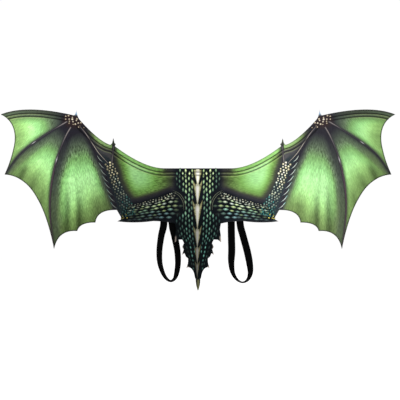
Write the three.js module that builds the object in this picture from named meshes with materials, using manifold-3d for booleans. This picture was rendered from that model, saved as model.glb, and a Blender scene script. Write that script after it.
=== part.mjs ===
// Costume dragon wings: one panel of printed cloth cut to the outline of a pair of wings and a
// tail, held open by casings sewn along the top edge, and worn by two elastic arm loops.
//
// Millimetres, +Z up, +X to the right of someone who looks at the printed side, which faces -Y.
// The origin is on the flat back of the panel, between the sewn ends of the two arm loops.

import * as THREE from "three";
import { mergeVertices } from "three/addons/utils/BufferGeometryUtils.js";
import Module from "manifold-3d";

const wasm = await Module();
wasm.setup();

// Cloth panel
const CLOTH_THICKNESS = 1.6;
const FACET = 13; // spacing of the panel's facets
const CURVE_STEPS = 14; // straight cuts that make one curve of the edge
const NECK_HEIGHT = 60; // straight top edge above the origin
const HALF_SPAN = 550;
const PANEL_TOP = 230;
const PANEL_BOTTOM = -281;
const SHEET_MARGIN = 10; // uncut sheet beyond the wing tips, top and tail
const CUTTER_DEPTH = 160;

// Shape of the cloth
const BOW_START = 100; // the wings sweep back towards the wearer from here out
const BOW_DEPTH = 30;
const SAG_DEPTH = 10; // how far the cloth hangs back between the bones
const SAG_REACH = 36;

// Casings along the top edge
const CASING_DROP = 15; // centre line of a casing below the cut edge
const CASING_WIDTH = 9;
const CASING_THICKNESS = 2.4;

// Elastic arm loops
const STRAP_WIDTH = 20;
const STRAP_THICKNESS = 1.5;
const STRAP_STEPS = 56;

const SEWN_GAP = 0.3; // between pieces that are sewn to each other

// The cut edge of the right half, from the top centre round to the tail tip. A row with bendX
// and bendZ is a curve pulled towards that point, and the other rows are straight cuts.
const CUT_EDGE = [
  { to: "neck_corner", x: 92, z: NECK_HEIGHT },
  { to: "thumb_inside", x: 230.5, z: 121.5, bendX: 149, bendZ: NECK_HEIGHT },
  { to: "thumb_inner_barb", x: 227.7, z: 127.4 },
  { to: "thumb_inner_base", x: 231.5, z: 130 },
  { to: "thumb_tip", x: 234.7, z: 144.6 },
  { to: "thumb_outer_base", x: 238, z: 130 },
  { to: "thumb_outer_barb", x: 242.7, z: 125 },
  { to: "knuckle_inside", x: 330, z: 197, bendX: 274.5, bendZ: 134.5 },
  { to: "knuckle_spike_inner_base", x: 333.5, z: 204 },
  { to: "knuckle_spike_tip", x: 337.3, z: 223.3, bendX: 336.5, bendZ: 212 },
  { to: "knuckle_spike_outer_base", x: 343.7, z: 207, bendX: 338.5, bendZ: 211 },
  { to: "wing_tip", x: HALF_SPAN, z: 210.5, bendX: 479, bendZ: 239 },
  { to: "first_finger_tip", x: 538.7, z: 43.1, bendX: 477, bendZ: 178 },
  { to: "second_finger_tip", x: 399.7, z: -164.6, bendX: 440, bendZ: 38.4 },
  { to: "outer_cusp", x: 334.9, z: -114, bendX: 389.3, bendZ: -109.8 },
  { to: "inner_cusp", x: 284.5, z: -90.4, bendX: 329.5, bendZ: -89.8 },
  { to: "elbow_hollow", x: 225, z: -55.6, bendX: 280.3, bendZ: -54.2 },
  { to: "elbow", x: 213.5, z: -75.6 },
  { to: "elbow_spur_root", x: 214.2, z: -82 },
  { to: "elbow_spur_tip", x: 224.1, z: -87 },
  { to: "underarm_outer", x: 205, z: -89 },
  { to: "underarm_middle", x: 125, z: -86.2, bendX: 165, bendZ: -92 },
  { to: "trunk_side", x: 63.5, z: -93, bendX: 92, bendZ: -86.5 },
  { to: "hip", x: 60.8, z: -109 },
  { to: "hip_barb", x: 63, z: -124 },
  { to: "upper_spike_tip", x: 64.2, z: -145.1 },
  { to: "upper_spike_root", x: 54.8, z: -137.9 },
  { to: "upper_notch", x: 43.7, z: -137.4 },
  { to: "middle_waist", x: 38.9, z: -147.4 },
  { to: "middle_barb", x: 43.7, z: -157.9 },
  { to: "middle_hollow", x: 39.5, z: -164.6 },
  { to: "middle_spike_tip", x: 44.2, z: -179.9 },
  { to: "middle_spike_root", x: 37.5, z: -175.2 },
  { to: "middle_notch", x: 33.6, z: -184.6 },
  { to: "lower_waist", x: 27.5, z: -190 },
  { to: "lower_spike_tip", x: 32.8, z: -215.8, bendX: 27, bendZ: -206 },
  { to: "lower_spike_root", x: 26.1, z: -214.4 },
  { to: "tail_sheath", x: 8.8, z: -244, bendX: 11.5, bendZ: -217.5 },
  { to: "tail_spike_base", x: 6.6, z: -247 },
  { to: "tail_tip", x: 0, z: PANEL_BOTTOM, bendX: 7, bendZ: -263 },
];

// Lines that stay forward while the cloth between them hangs back. Within "flat" of the line the
// cloth doesn't hang back at all. Each path runs through [x, z] points of the right half.
const BONES = [
  { name: "trunk", flat: 62, path: [[0, 60], [0, -120]] },
  { name: "upper_arm", flat: 20, path: [[40, -45], [110, -52], [200, -66]] },
  { name: "forearm", flat: 12, path: [[200, -66], [236, 56], [332, 190]] },
  { name: "thumb", flat: 5, path: [[236, 56], [235, 130]] },
  { name: "first_finger", flat: 3, path: [[340, 190], [470, 122], [538, 44]] },
  { name: "second_finger", flat: 3, path: [[338, 186], [398, 64], [409, -60], [400, -164]] },
  { name: "neck_casing", flat: 18, path: [[0, 45], [92, 45], [160, 62], [240, 108]] },
  { name: "shoulder_casing", flat: 18, path: [[240, 108], [286, 132], [340, 188]] },
  { name: "leading_casing", flat: 18, path: [[340, 192], [430, 213], [480, 214], [545, 206]] },
  { name: "loop_seat", flat: 30, path: [[93, 20], [93, -20]] },
];

// Folds that run to the free edge, each growing from nothing to its full height on the way.
const FOLDS = [
  { name: "outer_cusp", fromX: 334, fromZ: 70, toX: 335, toZ: -114, height: 8, width: 15 },
  { name: "inner_cusp", fromX: 300, fromZ: 40, toX: 284, toZ: -90, height: 7, width: 13 },
  { name: "finger_web", fromX: 398, fromZ: 110, toX: 448, toZ: -20, height: 6, width: 16 },
  { name: "outer_web", fromX: 420, fromZ: 120, toX: 490, toZ: 30, height: 6, width: 15 },
  { name: "tip_web", fromX: 420, fromZ: 172, toX: 508, toZ: 112, height: 6, width: 15 },
];

// Stretches of the cut edge that a casing follows on the right half, as shares of each stretch.
const MIDDLE_CASING = [
  { edge: "neck_corner", first: 0, last: 0.85, steps: 3 },
  { edge: "thumb_inside", first: 0, last: 1, steps: 12 },
  { edge: "knuckle_inside", first: 0.1, last: 0.96, steps: 12 },
];
const LEADING_CASING = [{ edge: "wing_tip", first: 0.08, last: 0.86, steps: 14 }];

// Routes of the arm loops from one sewn end to the other. "back" is behind the panel, and
// "turn" is how far the band has turned edge-on to the panel, in degrees.
const RIGHT_LOOP = [
  { x: 92.3, z: 14, back: 0, turn: 0 },
  { x: 92.3, z: -14, back: 0, turn: 0 },
  { x: 92.3, z: -90, back: 3, turn: 0 },
  { x: 92.8, z: -128, back: 6, turn: 2 },
  { x: 93.7, z: -167, back: 9, turn: 4 },
  { x: 92.5, z: -201, back: 11, turn: 30 },
  { x: 96.5, z: -229, back: 12, turn: 54 },
  { x: 108, z: -248.5, back: 12, turn: 70 },
  { x: 124, z: -256.5, back: 12, turn: 78 },
  { x: 138.5, z: -248.5, back: 12, turn: 64 },
  { x: 145.5, z: -229, back: 12, turn: 42 },
  { x: 143, z: -201, back: 11, turn: 16 },
  { x: 136, z: -167, back: 9, turn: 8 },
  { x: 125.3, z: -128, back: 6, turn: 4 },
  { x: 116.5, z: -90, back: 3, turn: 0 },
  { x: 114, z: -14, back: 0, turn: 0 },
  { x: 114, z: 14, back: 0, turn: 0 },
];
const LEFT_LOOP = [
  { x: -95, z: 14, back: 0, turn: 0 },
  { x: -95, z: -14, back: 0, turn: 0 },
  { x: -94.5, z: -90, back: 3, turn: 4 },
  { x: -102, z: -128, back: 6, turn: 22 },
  { x: -107, z: -167, back: 9, turn: 34 },
  { x: -106, z: -201, back: 11, turn: 42 },
  { x: -98, z: -229, back: 12, turn: 54 },
  { x: -87.5, z: -246, back: 12, turn: 64 },
  { x: -75.5, z: -253, back: 12, turn: 72 },
  { x: -65, z: -246, back: 12, turn: 62 },
  { x: -59, z: -229, back: 12, turn: 46 },
  { x: -55.5, z: -201, back: 12, turn: 36 },
  { x: -57.5, z: -167, back: 11, turn: 30 },
  { x: -65, z: -128, back: 8, turn: 18 },
  { x: -72, z: -90, back: 4, turn: 0 },
  { x: -73.3, z: -14, back: 0, turn: 0 },
  { x: -73.3, z: 14, back: 0, turn: 0 },
];

// Finishes
const PRINTED_CLOTH = new THREE.MeshStandardMaterial({ color: 0x86c46f, roughness: 0.85, metalness: 0 });
const CASING_TAPE = new THREE.MeshStandardMaterial({ color: 0x17181a, roughness: 0.9, metalness: 0 });
const BLACK_ELASTIC = new THREE.MeshStandardMaterial({ color: 0x101010, roughness: 0.8, metalness: 0 });

// Solids and meshes

function asSolid(geometry) {
  const bare = geometry.clone().deleteAttribute("normal").deleteAttribute("uv");
  const merged = mergeVertices(bare);
  return new wasm.Manifold(
    new wasm.Mesh({
      numProp: 3,
      vertProperties: new Float32Array(merged.attributes.position.array),
      triVerts: new Uint32Array(merged.index.array),
    }),
  );
}

function asGeometry(solid) {
  const { vertProperties, triVerts } = solid.getMesh();
  const geometry = new THREE.BufferGeometry();
  geometry.setAttribute("position", new THREE.BufferAttribute(vertProperties, 3));
  geometry.setIndex(new THREE.BufferAttribute(triVerts, 1));
  geometry.computeVertexNormals();
  return geometry;
}

function namedMesh(name, geometry, material) {
  const mesh = new THREE.Mesh(geometry, material);
  mesh.name = name;
  return mesh;
}

// Cut edge

function edgeCurves() {
  const start = new THREE.Vector2(0, NECK_HEIGHT);
  const curves = new Map();
  CUT_EDGE.reduce((from, row) => {
    const end = new THREE.Vector2(row.x, row.z);
    const curve =
      row.bendX === undefined
        ? new THREE.LineCurve(from, end)
        : new THREE.QuadraticBezierCurve(from, new THREE.Vector2(row.bendX, row.bendZ), end);
    curves.set(row.to, curve);
    return end;
  }, start);
  return curves;
}

const EDGE = edgeCurves();

function mirrored(points) {
  return points.map((p) => new THREE.Vector2(-p.x, p.y)).reverse();
}

function panelOutline() {
  const right = [...EDGE.values()].flatMap((curve) =>
    curve.getPoints(curve.isLineCurve ? 1 : CURVE_STEPS).slice(1),
  );
  const tailTip = right.pop();
  return new THREE.Shape([...right, tailTip, ...mirrored(right)]);
}

// Shape of the cloth: how far back its rear face lies at a point of the panel

function pathDistance(path, point) {
  const corners = path.map(([x, z]) => new THREE.Vector2(x, z));
  const lengths = corners.slice(1).map((end, i) => {
    const run = end.clone().sub(corners[i]);
    const along = point.clone().sub(corners[i]).dot(run) / run.lengthSq();
    const nearest = corners[i].clone().addScaledVector(run, THREE.MathUtils.clamp(along, 0, 1));
    return nearest.distanceTo(point);
  });
  return Math.min(...lengths);
}

function bow(side) {
  const share = Math.max(0, side - BOW_START) / (HALF_SPAN - BOW_START);
  return BOW_DEPTH * share ** 2;
}

function sag(point) {
  return BONES.reduce((depth, bone) => {
    const clear = Math.max(0, pathDistance(bone.path, point) - bone.flat);
    return depth * (1 - Math.exp(-((clear / SAG_REACH) ** 2)));
  }, SAG_DEPTH);
}

function foldHeight(fold, point) {
  const from = new THREE.Vector2(fold.fromX, fold.fromZ);
  const run = new THREE.Vector2(fold.toX, fold.toZ).sub(from);
  const offset = point.clone().sub(from);
  const grown = THREE.MathUtils.smoothstep(offset.dot(run) / run.lengthSq(), 0, 1);
  const across = offset.cross(run) / run.length();
  return fold.height * grown * Math.exp(-((across / fold.width) ** 2));
}

function backFace(x, z) {
  const point = new THREE.Vector2(Math.abs(x), z);
  const folds = FOLDS.reduce((sum, fold) => sum + foldHeight(fold, point), 0);
  return bow(point.x) + sag(point) - folds;
}

function wingPanel() {
  const width = 2 * (HALF_SPAN + SHEET_MARGIN);
  const height = PANEL_TOP - PANEL_BOTTOM + 2 * SHEET_MARGIN;
  const columns = 2 * Math.round(width / FACET / 2) + 1;
  const rows = Math.round(height / FACET);
  const sheet = new THREE.BoxGeometry(width, CLOTH_THICKNESS, height, columns, 1, rows);
  sheet.translate(0, -CLOTH_THICKNESS / 2, (PANEL_TOP + PANEL_BOTTOM) / 2);
  const place = sheet.attributes.position;
  for (let i = 0; i < place.count; i += 1) {
    place.setY(i, place.getY(i) + backFace(place.getX(i), place.getZ(i)));
  }
  const cutter = new THREE.ExtrudeGeometry(panelOutline(), { depth: CUTTER_DEPTH, bevelEnabled: false });
  cutter.rotateX(Math.PI / 2).translate(0, CUTTER_DEPTH / 2, 0);
  return namedMesh("wing_panel", asGeometry(asSolid(sheet).intersect(asSolid(cutter))), PRINTED_CLOTH);
}

// Bands: a straight bar of the band's section, bent along a route. frameAt gives the centre, the
// direction across the width and the direction through the thickness at a share of the route.

function bentBand(width, thickness, steps, frameAt) {
  const bar = new THREE.BoxGeometry(width, thickness, 1, 1, 1, steps);
  const place = bar.attributes.position;
  for (let i = 0; i < place.count; i += 1) {
    const { centre, across, through } = frameAt(0.5 - place.getZ(i));
    const corner = centre
      .clone()
      .addScaledVector(across, place.getX(i))
      .addScaledVector(through, place.getY(i));
    place.setXYZ(i, corner.x, corner.y, corner.z);
  }
  bar.computeVertexNormals();
  return bar;
}

// Points of an edge curve moved in from the edge to the centre line of a casing

function casingPoints(stretches) {
  return stretches.flatMap(({ edge, first, last, steps }) => {
    const curve = EDGE.get(edge);
    return Array.from({ length: steps + 1 }, (_, i) => {
      const share = THREE.MathUtils.lerp(first, last, i / steps);
      const tangent = curve.getTangent(share);
      const inward = new THREE.Vector2(tangent.y, -tangent.x);
      return curve.getPoint(share).addScaledVector(inward, CASING_DROP);
    });
  });
}

function casing(name, flatPoints) {
  const seat = SEWN_GAP + CASING_THICKNESS / 2;
  const points = flatPoints.map((p) => new THREE.Vector3(p.x, backFace(p.x, p.y) + seat, p.y));
  const route = new THREE.CatmullRomCurve3(points, false, "centripetal");
  const band = bentBand(CASING_WIDTH, CASING_THICKNESS, points.length - 1, (share) => {
    const tangent = route.getTangent(share);
    const through = new THREE.Vector3(0, 1, 0).projectOnPlane(tangent).normalize();
    const across = new THREE.Vector3().crossVectors(tangent, through);
    return { centre: route.getPoint(share), across, through };
  });
  return namedMesh(name, band, CASING_TAPE);
}

function casings() {
  const fromCentre = casingPoints(MIDDLE_CASING);
  const leading = casingPoints(LEADING_CASING);
  return [
    casing("casing_middle", [...mirrored(fromCentre.slice(1)), ...fromCentre]),
    casing("casing_right", leading),
    casing("casing_left", mirrored(leading)),
  ];
}

// Arm loops

function armLoop(name, stations) {
  const seat = SEWN_GAP + STRAP_THICKNESS / 2;
  const route = new THREE.CatmullRomCurve3(
    stations.map(({ x, z, back }) => new THREE.Vector3(x, seat + back, z)),
    false,
    "centripetal",
  );
  const turnAt = (share) => {
    const at = share * (stations.length - 1);
    const row = Math.min(Math.floor(at), stations.length - 2);
    return THREE.MathUtils.lerp(stations[row].turn, stations[row + 1].turn, at - row);
  };
  const band = bentBand(STRAP_WIDTH, STRAP_THICKNESS, STRAP_STEPS, (share) => {
    const centre = route.getPoint(share);
    const tangent = route.getTangent(share);
    const through = new THREE.Vector3(0, 1, 0).projectOnPlane(tangent).normalize();
    const across = new THREE.Vector3().crossVectors(tangent, through);
    const turn = THREE.MathUtils.degToRad(turnAt(share));
    across.applyAxisAngle(tangent, turn);
    through.applyAxisAngle(tangent, turn);
    return { centre, across, through };
  });
  return namedMesh(name, band, BLACK_ELASTIC);
}

const wings = new THREE.Group();
wings.name = "costume_wings";
wings.add(
  wingPanel(),
  ...casings(),
  armLoop("strap_left", LEFT_LOOP),
  armLoop("strap_right", RIGHT_LOOP),
);

export default wings;
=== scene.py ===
"""Costume dragon wings: the looks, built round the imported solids.

A printed cloth panel with its scales, beads and bones as low raised print, casings sewn along the
top edge, elastic arm loops, and a white studio with the camera in front of the printed side.
Lengths are millimetres in the part's own frame until a mesh is made, which is in metres like the
studio. Most tables give the right half of the wings, and the left half mirrors it.
"""

import logging
import math
from collections.abc import Callable, Sequence
from dataclasses import astuple, dataclass, field
from enum import Enum, IntEnum
from functools import partial

import bpy
import numpy as np
from mathutils.geometry import delaunay_2d_cdt
from mathutils.kdtree import KDTree
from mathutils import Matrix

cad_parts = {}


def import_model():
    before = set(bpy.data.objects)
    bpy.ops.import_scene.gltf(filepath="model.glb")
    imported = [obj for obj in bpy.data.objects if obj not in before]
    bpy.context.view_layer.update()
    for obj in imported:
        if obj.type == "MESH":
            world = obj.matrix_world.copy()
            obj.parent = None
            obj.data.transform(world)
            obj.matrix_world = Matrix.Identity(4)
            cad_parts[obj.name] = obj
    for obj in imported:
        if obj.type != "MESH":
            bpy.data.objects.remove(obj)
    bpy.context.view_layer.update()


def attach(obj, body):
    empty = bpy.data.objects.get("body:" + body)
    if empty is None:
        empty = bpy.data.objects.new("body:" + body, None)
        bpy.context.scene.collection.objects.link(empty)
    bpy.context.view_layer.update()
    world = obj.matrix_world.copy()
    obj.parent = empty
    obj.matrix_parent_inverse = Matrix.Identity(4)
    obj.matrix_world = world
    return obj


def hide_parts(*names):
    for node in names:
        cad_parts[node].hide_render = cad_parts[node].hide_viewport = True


LOG = logging.getLogger("costume_wings")
MM = 0.001
BODY = "root"
SEED = 20
GOLDEN_ANGLE = math.pi * (3 - math.sqrt(5))

Array = np.ndarray
Thing = bpy.types.Object
Material = bpy.types.Material
Tree = bpy.types.NodeTree
Node = bpy.types.ShaderNode
Amount = float | np.ndarray
Corner = tuple[float, float]
Triple = tuple[float, float, float]
Tint = Callable[[Array, float], Array]


def slope(values: Amount, low: Amount, high: Amount) -> Amount:
    """Rise evenly from 0 at a low value to 1 at a high one."""
    return np.clip((values - low) / (high - low), 0.0, 1.0)


def ramp(values: Amount, low: Amount, high: Amount) -> Amount:
    """Rise smoothly from 0 at a low value to 1 at a high one."""
    share = slope(values, low, high)
    return share * share * (3.0 - 2.0 * share)


def soft_least(one: Array, other: Array, blend: float = 0.16) -> Array:
    """Give the lesser of two shares at each point, rounded where they cross."""
    return np.clip((one + other - np.hypot(one - other, blend)) / (2.0 - blend), 0.0, 1.0)


def bell(values: Amount, width: Amount) -> Amount:
    """Give 1 at zero, falling away over a width on both sides."""
    return np.exp(-((values / width) ** 2))


@dataclass(frozen=True)
class Profile:
    """An amount that changes evenly from one stop to the next."""

    stops: tuple[float, ...]
    amounts: tuple[float, ...]

    def at(self, where: Amount) -> Amount:
        """Give the amount at one place or at many."""
        return np.interp(where, self.stops, self.amounts)


@dataclass(frozen=True)
class Change:
    """A change between a start and an end, and its full strength."""

    start: float
    end: float
    strength: float = 1.0

    def even(self, where: Amount) -> Amount:
        """Grow evenly from the start to the end."""
        return self.strength * slope(where, self.start, self.end)

    def growing(self, where: Amount) -> Amount:
        """Grow smoothly from the start to the end."""
        return self.strength * ramp(where, self.start, self.end)

    def fading(self, where: Amount) -> Amount:
        """Fade smoothly from the start to the end."""
        return self.strength * (1.0 - ramp(where, self.start, self.end))


@dataclass(frozen=True)
class SoftLine:
    """A soft line beside a path: its width, its strength and its offset from the path."""

    width: float
    strength: float = 1.0
    offset: float = 0.0

    def cover(self, where: Amount) -> Amount:
        """Give the line's cover at distances from the path."""
        return self.strength * bell(where - self.offset, self.width)


def smooth_path(corners: Sequence[Sequence[float]], per_span: int = 8) -> Array:
    """Draw a smooth curve through some corners.

    Args:
        corners: Points that the curve passes through, in two dimensions or more.
        per_span: Steps between one corner and the next.

    Returns:
        The curve's points.
    """
    knots = np.asarray(corners, float)
    padded = np.vstack([2 * knots[0] - knots[1], knots, 2 * knots[-1] - knots[-2]])
    share = np.linspace(0.0, 1.0, per_span, endpoint=False)[:, None]
    spans = []
    for before, start, end, after in zip(padded, padded[1:], padded[2:], padded[3:]):
        leaving = (end - before) / 2
        arriving = (after - start) / 2
        cubic = 2 * start - 2 * end + leaving + arriving
        square = 3 * end - 3 * start - 2 * leaving - arriving
        spans.append(((cubic * share + square) * share + leaving) * share + start)
    return np.vstack([*spans, knots[-1:]])


def run_of(path: Array) -> Array:
    """Give the length of a path up to each of its points."""
    return np.concatenate([[0.0], np.cumsum(np.linalg.norm(np.diff(path, axis=0), axis=1))])


def respaced(path: Array, step: float) -> Array:
    """Space a path's points evenly.

    Args:
        path: The path's points.
        step: Wanted distance between points.

    Returns:
        Points along the same path, its two ends among them.
    """
    run = run_of(path)
    count = max(2, int(round(run[-1] / step)) + 1)
    stops = np.linspace(0.0, run[-1], count)
    return np.stack([np.interp(stops, run, column) for column in path.T], axis=1)


def shares_along(path: Array) -> Array:
    """Give even shares from 0 at a path's first point to 1 at its last."""
    return np.linspace(0.0, 1.0, len(path))


def directions(path: Array) -> Array:
    """Give the unit direction of a path at each of its points."""
    change = np.gradient(path, axis=0)
    return change / np.linalg.norm(change, axis=1, keepdims=True)


def left_of(ahead: Array) -> Array:
    """Turn flat directions a quarter turn to the left."""
    return np.stack([-ahead[..., 1], ahead[..., 0]], axis=-1)


def on_right(points: Array) -> Array:
    """Fold points of the left half over onto the right half."""
    return np.column_stack([np.abs(points[:, 0]), points[:, 1]])


def in_space(flat: Array, depth: Array) -> Array:
    """Place points of the flat panel in space, each at its depth."""
    return np.stack([flat[:, 0], depth, flat[:, 1]], axis=1)


def reach_from(points: Array, centre: Sequence[float]) -> Array:
    """Give each point's distance from a centre."""
    return np.linalg.norm(points - np.asarray(centre), axis=1)


def enclosed(points: Array, loop: Array) -> Array:
    """Tell which points lie inside a closed loop.

    Args:
        points: The points, a row each.
        loop: The loop's corners, in order.

    Returns:
        Whether each point lies inside.
    """
    level = points[:, 1:]
    ends = np.roll(loop, -1, axis=0)
    crosses = (loop[:, 1] > level) != (ends[:, 1] > level)
    climb = np.where(ends[:, 1] == loop[:, 1], 1.0, ends[:, 1] - loop[:, 1])
    at = loop[:, 0] + (level - loop[:, 1]) * (ends[:, 0] - loop[:, 0]) / climb
    return np.count_nonzero(crosses & (points[:, :1] < at), axis=1) % 2 == 1


@dataclass(frozen=True)
class Beside:
    """Where points lie beside a path: how far off, how far to its left, and how far along."""

    distance: Array
    left: Array
    along: Array


def beside(points: Array, path: Array) -> Beside:
    """Measure points against the nearest stretch of a path.

    Args:
        points: Points of the flat panel, as columns x and z.
        path: The path's points, in order.

    Returns:
        The distances, the offsets to the left of the path, and the shares along it.
    """
    nearest = np.full(len(points), np.inf)
    left = np.zeros(len(points))
    along = np.zeros(len(points))
    run = run_of(path)
    for start, end, begun, length in zip(path, path[1:], run, np.diff(run)):
        ahead = (end - start) / length
        offset = points - start
        share = np.clip(offset @ ahead, 0.0, length)
        gap = np.linalg.norm(offset - share[:, None] * ahead, axis=1)
        closer = gap < nearest
        nearest[closer] = gap[closer]
        left[closer] = (ahead[0] * offset[:, 1] - ahead[1] * offset[:, 0])[closer]
        along[closer] = (begun + share[closer]) / run[-1]
    return Beside(nearest, np.copysign(nearest, left), along)


class Ink(Enum):
    """Printed colours, as screen values from 0 to 255."""

    CHARCOAL = (40, 39, 46)
    SMOKE = (66, 74, 66)
    MOSS = (92, 110, 84)
    LEAF = (120, 165, 100)
    FRESH = (152, 212, 134)
    PALE = (184, 243, 164)
    BRIAR = (58, 62, 50)
    FERN = (94, 121, 64)
    GRASS = (114, 162, 76)
    SPRING = (149, 207, 114)
    YELLOW_GREEN = (160, 212, 116)
    OLIVE = (101, 123, 70)
    STRIP = (132, 188, 95)
    TEA = (152, 178, 124)
    ASH = (71, 70, 72)
    PITCH = (4, 9, 12)
    NIGHT = (15, 19, 25)
    DUSK = (36, 46, 51)
    DEEP_TEAL = (22, 44, 50)
    SLATE = (48, 72, 80)
    TEAL = (58, 112, 108)
    SEA = (104, 170, 150)
    RAIN = (122, 160, 162)
    LAGOON = (24, 102, 102)
    AQUA = (96, 202, 190)
    SAGE = (98, 120, 98)
    MINT = (160, 206, 160)
    LIME = (216, 236, 152)
    CREAM = (248, 243, 208)
    MIST = (222, 236, 218)
    STRAW = (168, 156, 106)
    GOLD = (206, 184, 56)
    LEMON = (248, 236, 128)
    FEATHER = (128, 126, 82)
    PALE_FEATHER = (176, 173, 126)
    DARK_FEATHER = (40, 42, 30)
    BONE_WHITE = (242, 240, 234)
    MAROON = (48, 38, 40)
    RUST = (128, 92, 72)
    PLUM = (118, 74, 92)
    TAUPE = (150, 140, 136)
    HORN = (152, 140, 130)
    ICE = (140, 172, 198)
    LILAC = (196, 190, 210)
    WHITE = (246, 246, 244)
    BAND = (62, 68, 58)
    ARC = (118, 124, 98)
    OUTLINE = (34, 38, 30)

    @property
    def rgb(self) -> Array:
        """Shares of full red, green and blue on the screen."""
        return np.array(self.value, float) / 255.0


def mixed(inks: Sequence[Ink], share: float) -> Array:
    """Blend evenly spaced inks at a share of the way from the first to the last."""
    stops = np.linspace(0.0, 1.0, len(inks))
    return np.array([np.interp(share, stops, channel) for channel in zip(*(ink.rgb for ink in inks))])


def to_light(screen: Array) -> Array:
    """Turn screen colours into the linear light that shaders work in, by the sRGB curve.

    Args:
        screen: Screen colours, from 0 to 1.

    Returns:
        The same colours as linear light.
    """
    low = screen / 12.92
    high = ((screen + 0.055) / 1.055) ** 2.4
    return np.where(screen <= 0.04045, low, high)


class Paint:
    """Colours of some points, laid on one ink over another."""

    def __init__(self, count: int, ink: Ink) -> None:
        """Cover a number of points with one ink."""
        self.rgb = np.tile(ink.rgb, (count, 1))

    def lay(self, ink: Ink, cover: Amount) -> None:
        """Lay an ink over the points, with one cover from 0 to 1 for all or one for each."""
        share = np.broadcast_to(np.clip(cover, 0.0, 1.0), len(self.rgb))
        self.rgb += (ink.rgb - self.rgb) * share[:, None]

    def shade(self, factor: Array) -> None:
        """Multiply the colours by a factor at each point."""
        self.rgb *= factor[:, None]


@dataclass(frozen=True)
class Cut:
    """One stretch of the panel's cut edge, up to a named point, curved if it has a bend."""

    to: str
    x: float
    z: float
    bend: Corner | None = None


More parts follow.
